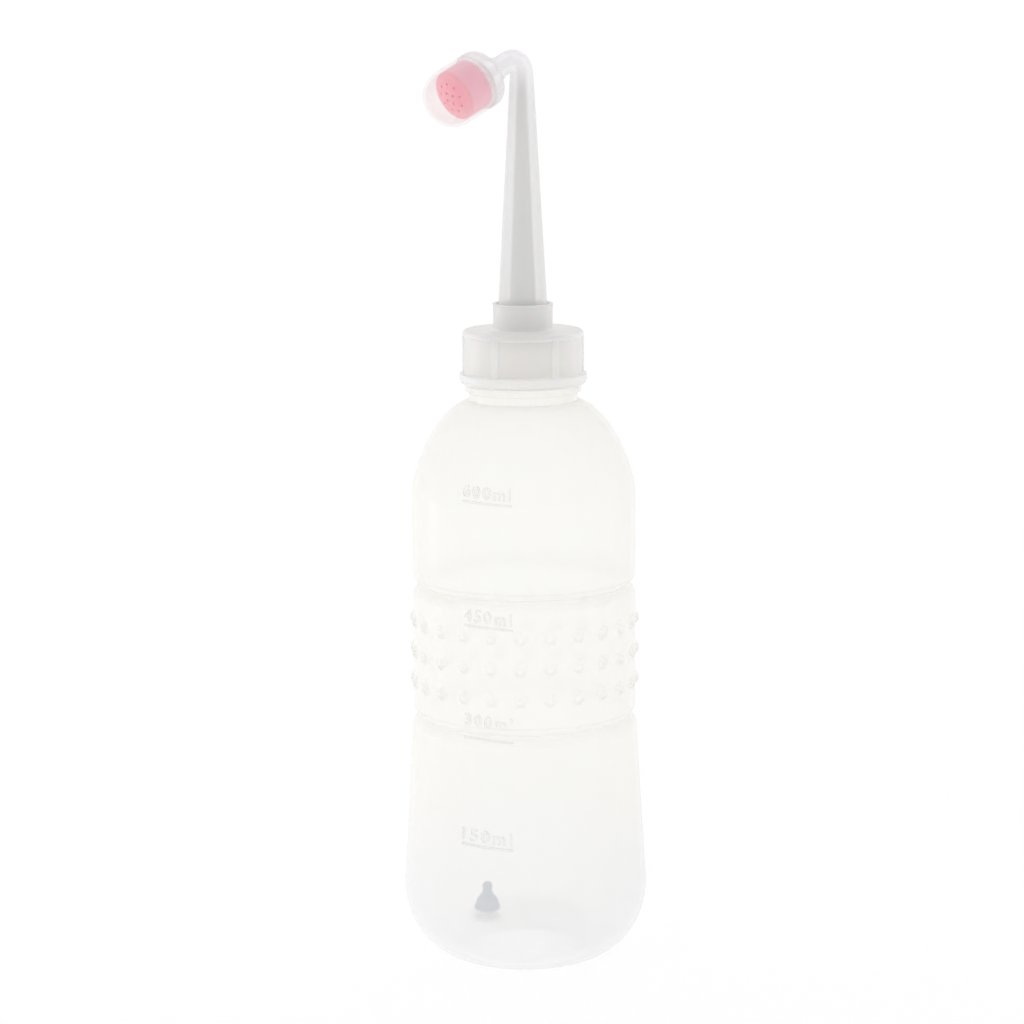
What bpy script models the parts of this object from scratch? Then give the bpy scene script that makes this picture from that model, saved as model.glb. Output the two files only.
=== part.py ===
"""Squeeze-bottle irrigator: a graduated bottle with an air valve in its base, a screw cap, a bent
nozzle that swivels in the cap, a perforated spray head and a domed dust cap.

Metres, +Z up.  The origin is the middle of the base.  Angles called azimuths are measured about +Z
from -Y, positive towards +X.
"""

import math

import bmesh
import bpy
from mathutils import Matrix, Vector

OBJECT_NAME = "squeeze_bottle_irrigator"

# Bottle body
WALL = 0.0012
BODY_R = 0.03575
SHOULDER_TOP_Z = 0.1822
SHOULDER_Z = 0.1520
SHOULDER_POWER = 1.6
LOWER_TOP_R = 0.0362
LOWER_TOP_Z = 0.0755
BELLY_R = 0.0394
BELLY_Z = 0.0240
BASE_ARC_R = 0.0196
STAND_INNER_R = 0.0179
FLOOR_R = 0.0175
FLOOR_Z = 0.0113
FLOOR_EDGE = 0.0004
GROOVE_HALF = 0.0037
GROOVE_STOPS = (-1.0, -0.5, -0.25, 0.0, 0.25, 0.5, 1.0)
UPPER_GROOVE_Z = 0.1231
UPPER_GROOVE_DEPTH = 0.0026
LOWER_GROOVE_Z = 0.0803
LOWER_GROOVE_DEPTH = 0.0021

# Bottle neck and finish
NECK_R = 0.0172
NECK_BORE_R = 0.0148
FINISH_R = 0.0160
RIM_Z = 0.1993
BEAD_R = 0.0185
BEAD_TOP_Z = 0.1874
BEAD_BOTTOM_Z = 0.1850
BEAD_EDGE = 0.0005

# Screw thread, right-handed
PITCH = 0.0040
THREAD_TURNS = 1.3
THREAD_STEPS = 40
THREAD_START_Z = 0.1903
THREAD_CREST_R = 0.0172
THREAD_HALF_CREST = 0.0003
THREAD_HALF_ROOT = 0.00075
CAP_THREAD_CREST_R = 0.0164
CAP_THREAD_DROP = 0.0015
THREAD_SINK = 0.0003

# Grip nubs and graduation bars
NUB_COUNT = 24
NUB_PHASE = math.radians(-2.4)
NUB_ROWS_Z = (0.0918, 0.1017, 0.1116)
NUB_R = 0.0024
NUB_TOP_R = 0.0012
NUB_HEIGHT = 0.0012
NUB_SINK = 0.0006
NUB_SIDES = 6
BAR_AZIMUTH = math.radians(-34.6)
BAR_SWEEP = math.radians(26.0)
BAR_DROP = 0.0010
BAR_WIDTH = 0.0007
BAR_PROUD = 0.00035
BAR_SINK = 0.0007
BAR_STEPS = 6
BAR_MARKS = ((0.1547, BODY_R), (0.1154, BODY_R), (0.0795, 0.0352), (0.0453, 0.0383))

# Air valve in the floor, heights from the floor's underside
VALVE_X = -0.0126
VALVE_Y = 0.0005
VALVE_STEPS = 20
BOSS_R = 0.0046
BOSS_HEIGHT = 0.0020
VALVE_HOLE_R = 0.0029
PLUG_BORE_R = 0.0016
PLUG_R = 0.0026
PLUG_TOP = 0.0047
PLUG_FLANGE_R = 0.0046
PLUG_FLANGE = (-0.0015, -0.0003)
PLUG_FLANGE_EDGE = 0.0004
BILL_BASE = 0.0023
BILL_OUTSIDE = ((0.0017, 0.0077), (0.0034, 0.0055), (0.0038, 0.0037), (0.0042, 0.0034))
BILL_BORE = ((0.0029, 0.0050), (0.0022, 0.0057), (0.0008, 0.0081), (0.0, 0.0089))
BILL_TIP_R = 0.0017
BILL_TIP_AT = 0.0097
SLIT_SIZE = (0.0022, 0.0003, 0.0060)
SLIT_AT = 0.0107

# Cap
CAP_R = 0.0193
CAP_PANEL_R = 0.0188
CAP_TOP_Z = 0.2046
CAP_BOTTOM_Z = 0.1877
CAP_EDGE_R = 0.0012
CAP_INNER_R = 0.0176
CAP_CEILING_Z = 0.2012
FLANGE_R = 0.0203
FLANGE_TOP_Z = 0.1908
FLANGE_EDGE = 0.0004
PANEL_TOP_Z = 0.2030
PANEL_CHAMFER = 0.0004
RIB_COUNT = 6
RIB_AZIMUTH = math.radians(32.0)
RIB_WIDTH = 0.0022
RIB_SINK = 0.0004
RIB_REACH = 0.0006
RIB_R = 0.01928
COLLAR_R = 0.00945
COLLAR_LIP = 0.0002
COLLAR_LIP_HEIGHT = 0.0005
COLLAR_FILLET = 0.0004
COLLAR_TOP_Z = 0.2130
COLLAR_BORE_R = 0.0084
POCKET_R = 0.0124
POCKET_Z = 0.2029

# Gasket under the cap's ceiling
GASKET_OUTER_R = 0.0171
GASKET_INNER_R = 0.0090
GASKET_BOTTOM_Z = 0.1996
GASKET_TOP_Z = 0.2009

# Nozzle
SHANK_R = 0.0079
SEAL_GROOVE_R = 0.0065
SEAL_GROOVE_Z = (0.2065, 0.2085)
NOZZLE_FLANGE_R = 0.0120
NOZZLE_FLANGE_TOP_Z = 0.2026
SEAL_R = 0.00745
SEAL_CORD_R = 0.00065
TUBE_STATIONS = ((0.0076, 0.2110), (0.0077, 0.2130), (0.00565, 0.2500), (0.00395, 0.2805))
TUBE_TOP_R = 0.0036
KNEE_Z = 0.2913
BEND_R = 0.0039
ARM_DIP = math.radians(25.0)
ARM_AZIMUTH = math.radians(-51.5)
ARM_R = 0.0034
ARM_END = 0.0115
BORE_BASE_R = 0.0046
BORE_TOP_R = 0.0014
BORE_TAPER_TOP_Z = 0.2820
KNEE_STEPS = 9
BORE_KNEE_STEPS = 7

# Bell at the nozzle's end, as distances along the arm from the knee
BELL_START = 0.0105
BELL_NECK_START = 0.0123
BELL_NECK_END = 0.0139
BELL_ROOT_R = 0.0037
BELL_NECK_R = 0.0046
BELL_R = 0.00933
BELL_FILLET = 0.0042
BELL_FILLET_AT = 0.0185
BELL_FACE = 0.0200
STEP_R = 0.00805
STEP_END = 0.0208
SPIGOT_R = 0.0067
SPIGOT_END = 0.0268
SPIGOT_EDGE = 0.0005
CAVITY_R = 0.0052
CAVITY_START = 0.0165

# Spray head and dust cap
HEAD_R = 0.0080
HEAD_WALL = 0.0010
HEAD_EDGE_R = 0.0009
HEAD_START = 0.0211
HEAD_RIM = 0.0299
HEAD_TIP = 0.0313
CROWN_STEPS = 4
HOLE_R = 0.00045
HOLE_RINGS = ((4, 0.0019, math.radians(26.0)), (9, 0.0046, math.radians(5.6)))
DUST_CAP_R = 0.00933
DUST_CAP_WALL = 0.00098
DUST_CAP_START = 0.0203
DUST_CAP_DOME = 0.0300

# Smoothness
BODY_STEPS = 40
CAP_STEPS = 40
HEAD_STEPS = 28
CUT_OVERRUN = 0.0010

for old in list(bpy.data.objects):
    bpy.data.objects.remove(old, do_unlink=True)

parts = bpy.data.collections.new(OBJECT_NAME)
cutters = bpy.data.collections.new("cutters")
bpy.context.scene.collection.children.link(parts)
bpy.context.scene.collection.children.link(cutters)


def material(name, colour, roughness, alpha=1.0):
    """A plain Principled material."""
    made = bpy.data.materials.new(name)
    made.use_nodes = True
    shader = made.node_tree.nodes["Principled BSDF"]
    shader.inputs["Base Color"].default_value = (*colour, 1.0)
    shader.inputs["Roughness"].default_value = roughness
    shader.inputs["Metallic"].default_value = 0.0
    shader.inputs["Alpha"].default_value = alpha
    made.diffuse_color = (*colour, alpha)
    return made


def add_part(name, mesh, finish, parent=None):
    """Links a visible sub-part."""
    obj = bpy.data.objects.new(name, mesh)
    parts.objects.link(obj)
    mesh.materials.append(finish)
    obj.parent = parent
    return obj


def add_helper(name, mesh, parent=None):
    """Links a shape that only joins or cuts other shapes."""
    obj = bpy.data.objects.new(name, mesh)
    cutters.objects.link(obj)
    obj.hide_render = True
    obj.display_type = "WIRE"
    obj.parent = parent
    return obj


def profile_mesh(name, profile, closed=False):
    """A chain of edges in the XZ plane, ready to be turned about Z."""
    mesh = bpy.data.meshes.new(name)
    count = len(profile)
    edges = [(i, i + 1) for i in range(count - 1)]
    if closed:
        edges.append((count - 1, 0))
    mesh.from_pydata([(r, 0.0, z) for r, z in profile], edges, [])
    return mesh


def turn(obj, steps):
    """Turns the object's profile through a full circle about its own Z axis."""
    screw = obj.modifiers.new("turn", "SCREW")
    screw.axis = "Z"
    screw.angle = 2 * math.pi
    screw.steps = steps
    screw.render_steps = steps
    screw.use_merge_vertices = True
    screw.merge_threshold = 0.00001
    screw.use_smooth_shade = True
    return obj


def combine(obj, other, operation):
    """Joins or cuts the object with another one."""
    boolean = obj.modifiers.new(f"{operation.lower()}_{other.name}", "BOOLEAN")
    boolean.operation = operation
    boolean.solver = "EXACT"
    boolean.object = other


def bmesh_to_mesh(bm, name):
    """Finishes a bmesh as a mesh whose faces point out."""
    bmesh.ops.recalc_face_normals(bm, faces=bm.faces)
    mesh = bpy.data.meshes.new(name)
    bm.to_mesh(mesh)
    bm.free()
    return mesh


def swept_ring(bm, section, start, sweep, steps, rise):
    """Sweeps a flat section of (radius, height) points about Z, rising as it goes."""
    corners = [bm.verts.new((r, 0.0, z)) for r, z in section]
    bmesh.ops.rotate(bm, verts=corners, cent=(0, 0, 0), matrix=Matrix.Rotation(start, 3, "Z"))
    face = bm.faces.new(corners)
    bmesh.ops.spin(
        bm, geom=[face], cent=(0, 0, 0), axis=(0, 0, 1), dvec=(0, 0, rise / steps),
        angle=sweep, steps=steps, use_duplicate=False,
    )


def world_angle(azimuth):
    """The angle about +Z from +X of an azimuth that is measured from -Y."""
    return azimuth - math.pi / 2


def arc(centre, radius, start, end, steps):
    """Points of an arc of (radius, height) points, angles in degrees from the outward direction."""
    turns = [math.radians(start + (end - start) * i / steps) for i in range(steps + 1)]
    return [(centre[0] + radius * math.cos(a), centre[1] + radius * math.sin(a)) for a in turns]


def inset(outline, distance):
    """The outline moved inwards by a distance, for the inner face of a wall."""
    moved = []
    for i, (r, z) in enumerate(outline):
        before = Vector(outline[max(i - 1, 0)])
        after = Vector(outline[min(i + 1, len(outline) - 1)])
        along = (after - before).normalized()
        moved.append((r + along.y * distance, z - along.x * distance))
    return moved


def lower_body_r(z):
    """The radius of the flared lower body, growing downwards."""
    return LOWER_TOP_R + (BELLY_R - LOWER_TOP_R) * (LOWER_TOP_Z - z) / (LOWER_TOP_Z - BELLY_Z)


def groove(z, depth, r_above, r_below):
    """A sharp-bottomed groove between two rounded edges of the body, from top to bottom."""
    points = []
    for stop in GROOVE_STOPS:
        r = r_above + (r_below - r_above) * (stop + 1) / 2
        points.append((r - depth * (1 - abs(stop)) ** 2, z - GROOVE_HALF * stop))
    return points


def bottle_outline():
    """The outside of the body, from the foot of the neck down to the stand's inner edge."""
    points = []
    power = 2 / SHOULDER_POWER
    for i in range(7):
        a = math.radians(15 * i)
        r = NECK_R + (BODY_R - NECK_R) * math.sin(a) ** power
        z = SHOULDER_Z + (SHOULDER_TOP_Z - SHOULDER_Z) * max(math.cos(a), 0.0) ** power
        points.append((r, z))
    points += groove(UPPER_GROOVE_Z, UPPER_GROOVE_DEPTH, BODY_R, BODY_R)
    points += groove(LOWER_GROOVE_Z, LOWER_GROOVE_DEPTH, BODY_R, LOWER_TOP_R)
    points.append((lower_body_r(0.050), 0.050))
    for i in range(6):
        a = math.radians(18 * i)
        r = BASE_ARC_R + (BELLY_R - BASE_ARC_R) * math.cos(a)
        points.append((r, BELLY_Z * (1 - math.sin(a))))
    points.append((STAND_INNER_R, 0.0))
    points.append((FLOOR_R + FLOOR_EDGE, FLOOR_Z - FLOOR_EDGE))
    points.append((FLOOR_R, FLOOR_Z))
    return points


def make_bottle(finish):
    """The squeeze bottle: neck finish, body, pushed-up floor, thread, nubs and marks."""
    outline = bottle_outline()
    neck_side = [
        (NECK_BORE_R, RIM_Z),
        (FINISH_R, RIM_Z),
        (FINISH_R, BEAD_TOP_Z),
        (BEAD_R - BEAD_EDGE, BEAD_TOP_Z),
        (BEAD_R, BEAD_TOP_Z - BEAD_EDGE),
        (BEAD_R, BEAD_BOTTOM_Z + BEAD_EDGE),
        (BEAD_R - BEAD_EDGE, BEAD_BOTTOM_Z),
        (NECK_R, BEAD_BOTTOM_Z),
    ]
    inner = [(r, max(z, WALL)) for r, z in reversed(inset(outline, WALL))]
    inner[0] = (FLOOR_R, FLOOR_Z + WALL)
    inside = [(0.0, FLOOR_Z + WALL)] + inner + [(NECK_BORE_R, SHOULDER_TOP_Z)]
    profile = inside + neck_side + outline + [(0.0, FLOOR_Z)]
    bottle = turn(add_part("bottle", profile_mesh("bottle", profile), finish), BODY_STEPS)

    bm = bmesh.new()
    section = [
        (FINISH_R - THREAD_SINK, -THREAD_HALF_ROOT),
        (THREAD_CREST_R, -THREAD_HALF_CREST),
        (THREAD_CREST_R, THREAD_HALF_CREST),
        (FINISH_R - THREAD_SINK, THREAD_HALF_ROOT),
    ]
    section = [(r, z + THREAD_START_Z) for r, z in section]
    rise = PITCH * THREAD_TURNS
    swept_ring(bm, section, 0.0, 2 * math.pi * THREAD_TURNS, THREAD_STEPS, rise)
    combine(bottle, add_helper("bottle_thread", bmesh_to_mesh(bm, "bottle_thread")), "UNION")

    bm = bmesh.new()
    for z in NUB_ROWS_Z:
        for i in range(NUB_COUNT):
            add_nub(bm, world_angle(NUB_PHASE + 2 * math.pi * i / NUB_COUNT), z)
    for z, r in BAR_MARKS:
        half = BAR_WIDTH / 2
        section = [(r - BAR_SINK, z - half), (r + BAR_PROUD, z - half)]
        section += [(r + BAR_PROUD, z + half), (r - BAR_SINK, z + half)]
        swept_ring(bm, section, world_angle(BAR_AZIMUTH), BAR_SWEEP, BAR_STEPS, -BAR_DROP)
    combine(bottle, add_helper("nubs_and_bars", bmesh_to_mesh(bm, "nubs_and_bars")), "UNION")

    boss_low = FLOOR_Z + WALL / 3
    boss_high = FLOOR_Z + BOSS_HEIGHT
    boss = upright_cylinder("valve_boss", BOSS_R, boss_low, boss_high)
    combine(bottle, add_helper("valve_boss", boss), "UNION")
    hole = upright_cylinder("valve_hole", VALVE_HOLE_R, FLOOR_Z - CUT_OVERRUN, boss_high + CUT_OVERRUN)
    combine(bottle, add_helper("valve_hole", hole), "DIFFERENCE")
    return bottle


def upright_cylinder(name, radius, low, high):
    """A cylinder on the air valve's axis, between two heights."""
    bm = bmesh.new()
    bmesh.ops.create_cone(
        bm, cap_ends=True, segments=VALVE_STEPS, radius1=radius, radius2=radius,
        depth=high - low, matrix=Matrix.Translation((VALVE_X, VALVE_Y, (low + high) / 2)),
    )
    return bmesh_to_mesh(bm, name)


def add_nub(bm, angle, z):
    """One round-topped grip nub standing out of the body."""
    outward = Matrix.Rotation(angle, 4, "Z") @ Matrix.Rotation(math.pi / 2, 4, "Y")
    middle = BODY_R + (NUB_HEIGHT - NUB_SINK) / 2
    at = Matrix.Translation((middle * math.cos(angle), middle * math.sin(angle), z))
    bmesh.ops.create_cone(
        bm, cap_ends=True, segments=NUB_SIDES, radius1=NUB_R, radius2=NUB_TOP_R,
        depth=NUB_HEIGHT + NUB_SINK, matrix=at @ outward,
    )


def make_valve(plug_finish, duckbill_finish):
    """The air inlet in the floor: a flanged tube, and the duckbill that fits over it."""
    seat = bpy.data.objects.new("valve_axis", None)
    seat.location = (VALVE_X, VALVE_Y, FLOOR_Z)
    parts.objects.link(seat)
    flange_low, flange_high = PLUG_FLANGE
    plug = [
        (PLUG_BORE_R, PLUG_TOP),
        (PLUG_R, PLUG_TOP),
        (PLUG_R, flange_high),
        (PLUG_FLANGE_R, flange_high),
        (PLUG_FLANGE_R, flange_low + PLUG_FLANGE_EDGE),
        (PLUG_FLANGE_R - PLUG_FLANGE_EDGE, flange_low),
        (PLUG_BORE_R, flange_low),
    ]
    mesh = profile_mesh("valve_plug", plug, True)
    turn(add_part("valve_plug", mesh, plug_finish, seat), VALVE_STEPS)

    outside = [(0.0, BILL_TIP_AT + BILL_TIP_R)]
    outside += arc((0.0, BILL_TIP_AT), BILL_TIP_R, 75, -40, 5)
    outside += list(BILL_OUTSIDE) + [(BILL_OUTSIDE[-1][0], BILL_BASE)]
    inside = [(BILL_BORE[0][0], BILL_BASE)] + list(BILL_BORE)
    mesh = profile_mesh("valve_duckbill", outside + inside)
    duckbill = turn(add_part("valve_duckbill", mesh, duckbill_finish, seat), VALVE_STEPS)
    bm = bmesh.new()
    size = Matrix.Diagonal((*SLIT_SIZE, 1.0))
    bmesh.ops.create_cube(bm, size=1.0, matrix=Matrix.Translation((0, 0, SLIT_AT)) @ size)
    slit = add_helper("duckbill_slit", bmesh_to_mesh(bm, "duckbill_slit"), seat)
    combine(duckbill, slit, "DIFFERENCE")


def make_cap(finish):
    """The screw cap: panelled skirt, flange, ceiling pocket and collar."""
    profile = [
        (COLLAR_BORE_R, COLLAR_TOP_Z),
        (COLLAR_R + COLLAR_LIP, COLLAR_TOP_Z),
        (COLLAR_R + COLLAR_LIP, COLLAR_TOP_Z - COLLAR_LIP_HEIGHT),
        (COLLAR_R, COLLAR_TOP_Z - COLLAR_LIP_HEIGHT - COLLAR_LIP),
        (COLLAR_R, CAP_TOP_Z + COLLAR_FILLET),
        (COLLAR_R + COLLAR_FILLET, CAP_TOP_Z),
    ]
    profile += arc((CAP_R - CAP_EDGE_R, CAP_TOP_Z - CAP_EDGE_R), CAP_EDGE_R, 90, 0, 4)
    profile += [
        (CAP_R, PANEL_TOP_Z),
        (CAP_PANEL_R, PANEL_TOP_Z - PANEL_CHAMFER),
        (CAP_PANEL_R, FLANGE_TOP_Z),
        (FLANGE_R - FLANGE_EDGE, FLANGE_TOP_Z),
        (FLANGE_R, FLANGE_TOP_Z - FLANGE_EDGE),
        (FLANGE_R, CAP_BOTTOM_Z),
        (CAP_INNER_R, CAP_BOTTOM_Z),
        (CAP_INNER_R, CAP_CEILING_Z),
        (POCKET_R, CAP_CEILING_Z),
        (POCKET_R, POCKET_Z),
        (COLLAR_BORE_R, POCKET_Z),
    ]
    cap = turn(add_part("cap", profile_mesh("cap", profile, True), finish), CAP_STEPS)

    bm = bmesh.new()
    for i in range(RIB_COUNT):
        angle = world_angle(RIB_AZIMUTH) + 2 * math.pi * i / RIB_COUNT
        half = RIB_WIDTH / 2 / CAP_R
        section = [
            (CAP_PANEL_R - RIB_SINK, FLANGE_TOP_Z - RIB_REACH),
            (RIB_R, FLANGE_TOP_Z - RIB_REACH),
            (RIB_R, PANEL_TOP_Z + RIB_REACH / 3),
            (CAP_PANEL_R - RIB_SINK, PANEL_TOP_Z + RIB_REACH / 3),
        ]
        swept_ring(bm, section, angle - half, 2 * half, 2, 0.0)
    combine(cap, add_helper("cap_ribs", bmesh_to_mesh(bm, "cap_ribs")), "UNION")

    bm = bmesh.new()
    section = [
        (CAP_INNER_R + THREAD_SINK, THREAD_HALF_ROOT),
        (CAP_THREAD_CREST_R, THREAD_HALF_CREST),
        (CAP_THREAD_CREST_R, -THREAD_HALF_CREST),
        (CAP_INNER_R + THREAD_SINK, -THREAD_HALF_ROOT),
    ]
    section = [(r, z + THREAD_START_Z - CAP_THREAD_DROP) for r, z in section]
    rise = PITCH * THREAD_TURNS
    swept_ring(bm, section, 0.0, 2 * math.pi * THREAD_TURNS, THREAD_STEPS, rise)
    combine(cap, add_helper("cap_thread", bmesh_to_mesh(bm, "cap_thread")), "UNION")


def make_gasket(finish):
    """The flat ring that seals the bottle's rim and holds the nozzle's flange up."""
    profile = [
        (GASKET_INNER_R, GASKET_TOP_Z),
        (GASKET_OUTER_R, GASKET_TOP_Z),
        (GASKET_OUTER_R, GASKET_BOTTOM_Z),
        (GASKET_INNER_R, GASKET_BOTTOM_Z),
    ]
    turn(add_part("cap_gasket", profile_mesh("cap_gasket", profile, True), finish), CAP_STEPS)


def make_seal(finish):
    """The O-ring in the nozzle's groove."""
    bpy.ops.mesh.primitive_torus_add(
        major_segments=36, minor_segments=8, major_radius=SEAL_R, minor_radius=SEAL_CORD_R,
        location=(0, 0, sum(SEAL_GROOVE_Z) / 2),
    )
    ring = bpy.context.object
    ring.name = "nozzle_seal"
    ring.data.name = "nozzle_seal"
    for collection in list(ring.users_collection):
        collection.objects.unlink(ring)
    parts.objects.link(ring)
    ring.data.materials.append(finish)


def arm_direction():
    """The way that the arm points, from the knee towards the spray head."""
    level = world_angle(ARM_AZIMUTH)
    flat = Vector((math.cos(level), math.sin(level), 0.0))
    return flat * math.cos(ARM_DIP) - Vector((0, 0, 1)) * math.sin(ARM_DIP)


def knee_path(steps):
    """Points round the bend, from the top of the straight tube to the start of the arm."""
    level = world_angle(ARM_AZIMUTH)
    flat = Vector((math.cos(level), math.sin(level), 0.0))
    turned = math.pi / 2 + ARM_DIP
    reach = BEND_R * math.tan(turned / 2)
    pivot = Vector((0, 0, KNEE_Z - reach)) + flat * BEND_R
    points = []
    for i in range(steps + 1):
        a = turned * i / steps
        points.append(pivot + BEND_R * (Vector((0, 0, 1)) * math.sin(a) - flat * math.cos(a)))
    return points


def tube(name, points, radii, resolution):
    """A closed tube along points, with its own radius at each point, made a mesh."""
    curve = bpy.data.curves.new(name, "CURVE")
    curve.dimensions = "3D"
    curve.bevel_depth = 0.001
    curve.bevel_resolution = resolution
    curve.use_fill_caps = True
    spline = curve.splines.new("POLY")
    spline.points.add(len(points) - 1)
    for knot, point, radius in zip(spline.points, points, radii):
        knot.co = (*point, 1.0)
        knot.radius = radius / 0.001
    guide = bpy.data.objects.new(name, curve)
    cutters.objects.link(guide)
    graph = bpy.context.evaluated_depsgraph_get()
    mesh = bpy.data.meshes.new_from_object(guide.evaluated_get(graph))
    bpy.data.objects.remove(guide, do_unlink=True)
    bm = bmesh.new()
    bm.from_mesh(mesh)
    bmesh.ops.remove_doubles(bm, verts=bm.verts, dist=0.00001)
    return bmesh_to_mesh(bm, name)


def make_nozzle(finish, head_axis):
    """The bent nozzle: flanged shank, tapered tube, knee, arm and bell, with its bore."""
    arm = arm_direction()
    knee = Vector((0, 0, KNEE_Z))
    bend = knee_path(KNEE_STEPS)
    shrink = (ARM_R - TUBE_TOP_R) / KNEE_STEPS
    points = [Vector((0, 0, z)) for _, z in TUBE_STATIONS] + bend + [knee + arm * ARM_END]
    radii = [r for r, _ in TUBE_STATIONS]
    radii += [TUBE_TOP_R + shrink * i for i in range(KNEE_STEPS + 1)] + [ARM_R]
    nozzle = add_part("nozzle", tube("nozzle", points, radii, 10), finish)

    shank = [
        (0.0, COLLAR_TOP_Z),
        (SHANK_R, COLLAR_TOP_Z),
        (SHANK_R, SEAL_GROOVE_Z[1]),
        (SEAL_GROOVE_R, SEAL_GROOVE_Z[1]),
        (SEAL_GROOVE_R, SEAL_GROOVE_Z[0]),
        (SHANK_R, SEAL_GROOVE_Z[0]),
        (SHANK_R, NOZZLE_FLANGE_TOP_Z),
        (NOZZLE_FLANGE_R, NOZZLE_FLANGE_TOP_Z),
        (NOZZLE_FLANGE_R, CAP_CEILING_Z),
        (0.0, CAP_CEILING_Z),
    ]
    combine(nozzle, turn(add_helper("shank", profile_mesh("shank", shank)), 36), "UNION")

    bell = [
        (0.0, CAVITY_START),
        (CAVITY_R, CAVITY_START),
        (CAVITY_R, SPIGOT_END),
        (SPIGOT_R - SPIGOT_EDGE, SPIGOT_END),
        (SPIGOT_R, SPIGOT_END - SPIGOT_EDGE),
        (SPIGOT_R, STEP_END),
        (STEP_R, STEP_END),
        (STEP_R, BELL_FACE),
        (BELL_R, BELL_FACE),
    ]
    bell += arc((BELL_R - BELL_FILLET, BELL_FILLET_AT), BELL_FILLET, 0, -90, 7)
    bell += [
        (BELL_NECK_R, BELL_NECK_END),
        (BELL_NECK_R, BELL_NECK_START),
        (BELL_ROOT_R, BELL_START),
        (0.0, BELL_START),
    ]
    bell_shape = turn(add_helper("bell", profile_mesh("bell", bell), head_axis), HEAD_STEPS)
    combine(nozzle, bell_shape, "UNION")

    bore = [Vector((0, 0, CAP_CEILING_Z - CUT_OVERRUN)), Vector((0, 0, BORE_TAPER_TOP_Z))]
    bore += knee_path(BORE_KNEE_STEPS) + [knee + arm * (CAVITY_START + CUT_OVERRUN)]
    bore_radii = [BORE_BASE_R] + [BORE_TOP_R] * (len(bore) - 1)
    combine(nozzle, add_helper("bore", tube("bore", bore, bore_radii, 6)), "DIFFERENCE")


def make_spray_head(finish, head_axis):
    """The perforated cup that fits over the bell's spigot."""
    rise = HEAD_TIP - HEAD_RIM
    flat_r = HEAD_R - HEAD_EDGE_R
    dome_r = (flat_r**2 + rise**2) / (2 * rise)
    half_turn = math.asin(flat_r / dome_r)
    lean = 90 - math.degrees(half_turn)
    crown = [(0.0, HEAD_TIP)]
    crown += arc((0.0, HEAD_TIP - dome_r), dome_r, 90, lean, CROWN_STEPS)[1:]
    drop = HEAD_EDGE_R * math.sin(math.radians(lean))
    edge = arc((flat_r, HEAD_RIM - drop), HEAD_EDGE_R, lean, 0, 3)
    outside = crown + edge[1:] + [(HEAD_R, HEAD_START)]
    wall_r = HEAD_R - HEAD_WALL
    inside = [(wall_r, HEAD_START), (wall_r, HEAD_RIM - drop)]
    inside += [(wall_r - HEAD_WALL / 2, HEAD_RIM - HEAD_WALL), (0.0, HEAD_TIP - HEAD_WALL)]
    head = turn(
        add_part("spray_head", profile_mesh("spray_head", outside + inside), finish, head_axis),
        HEAD_STEPS,
    )
    bm = bmesh.new()
    for count, ring_r, phase in HOLE_RINGS:
        for i in range(count):
            a = phase + 2 * math.pi * i / count
            place = Matrix.Translation((ring_r * math.cos(a), ring_r * math.sin(a), HEAD_RIM))
            bmesh.ops.create_cone(
                bm, cap_ends=True, segments=8, radius1=HOLE_R, radius2=HOLE_R,
                depth=5 * HEAD_WALL, matrix=place,
            )
    holes = add_helper("spray_holes", bmesh_to_mesh(bm, "spray_holes"), head_axis)
    combine(head, holes, "DIFFERENCE")


def make_dust_cap(finish, head_axis):
    """The domed cover that pushes over the spray head."""
    centre = (0.0, DUST_CAP_DOME)
    inner_r = DUST_CAP_R - DUST_CAP_WALL
    profile = [(0.0, DUST_CAP_DOME + DUST_CAP_R)] + arc(centre, DUST_CAP_R, 80, 0, 8)
    profile += [(DUST_CAP_R, DUST_CAP_START), (inner_r, DUST_CAP_START)]
    profile += arc(centre, inner_r, 0, 79, 7) + [(0.0, DUST_CAP_DOME + inner_r)]
    turn(add_part("dust_cap", profile_mesh("dust_cap", profile), finish, head_axis), HEAD_STEPS)


def make_head_axis():
    """An empty at the knee whose +Z runs along the arm."""
    axis = bpy.data.objects.new("head_axis", None)
    axis.location = (0, 0, KNEE_Z)
    axis.rotation_mode = "QUATERNION"
    axis.rotation_quaternion = arm_direction().to_track_quat("Z", "Y")
    parts.objects.link(axis)
    return axis


frosted = material("frosted_polyethylene", (0.93, 0.93, 0.92), 0.45, 0.9)
natural = material("natural_polypropylene", (0.86, 0.86, 0.85), 0.35)
clear = material("clear_polypropylene", (0.84, 0.82, 0.83), 0.2, 0.5)
pink = material("pink_plastic", (0.87, 0.36, 0.45), 0.4)
silicone = material("white_silicone", (0.85, 0.85, 0.83), 0.5)
grey = material("grey_silicone", (0.42, 0.43, 0.46), 0.5)

make_bottle(frosted)
make_valve(natural, grey)
make_cap(natural)
make_gasket(silicone)
make_seal(silicone)
axis_empty = make_head_axis()
make_nozzle(natural, axis_empty)
make_spray_head(pink, axis_empty)
make_dust_cap(clear, axis_empty)
bpy.context.view_layer.update()
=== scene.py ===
"""Looks for the squeeze-bottle irrigator: a milky graduated bottle with a swivelling bent nozzle.

Metres, +Z up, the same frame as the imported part.  Azimuths are turns about +Z from -Y,
positive towards +X.
"""

import math

import bmesh
import bpy
from mathutils import Matrix, Vector


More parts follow.
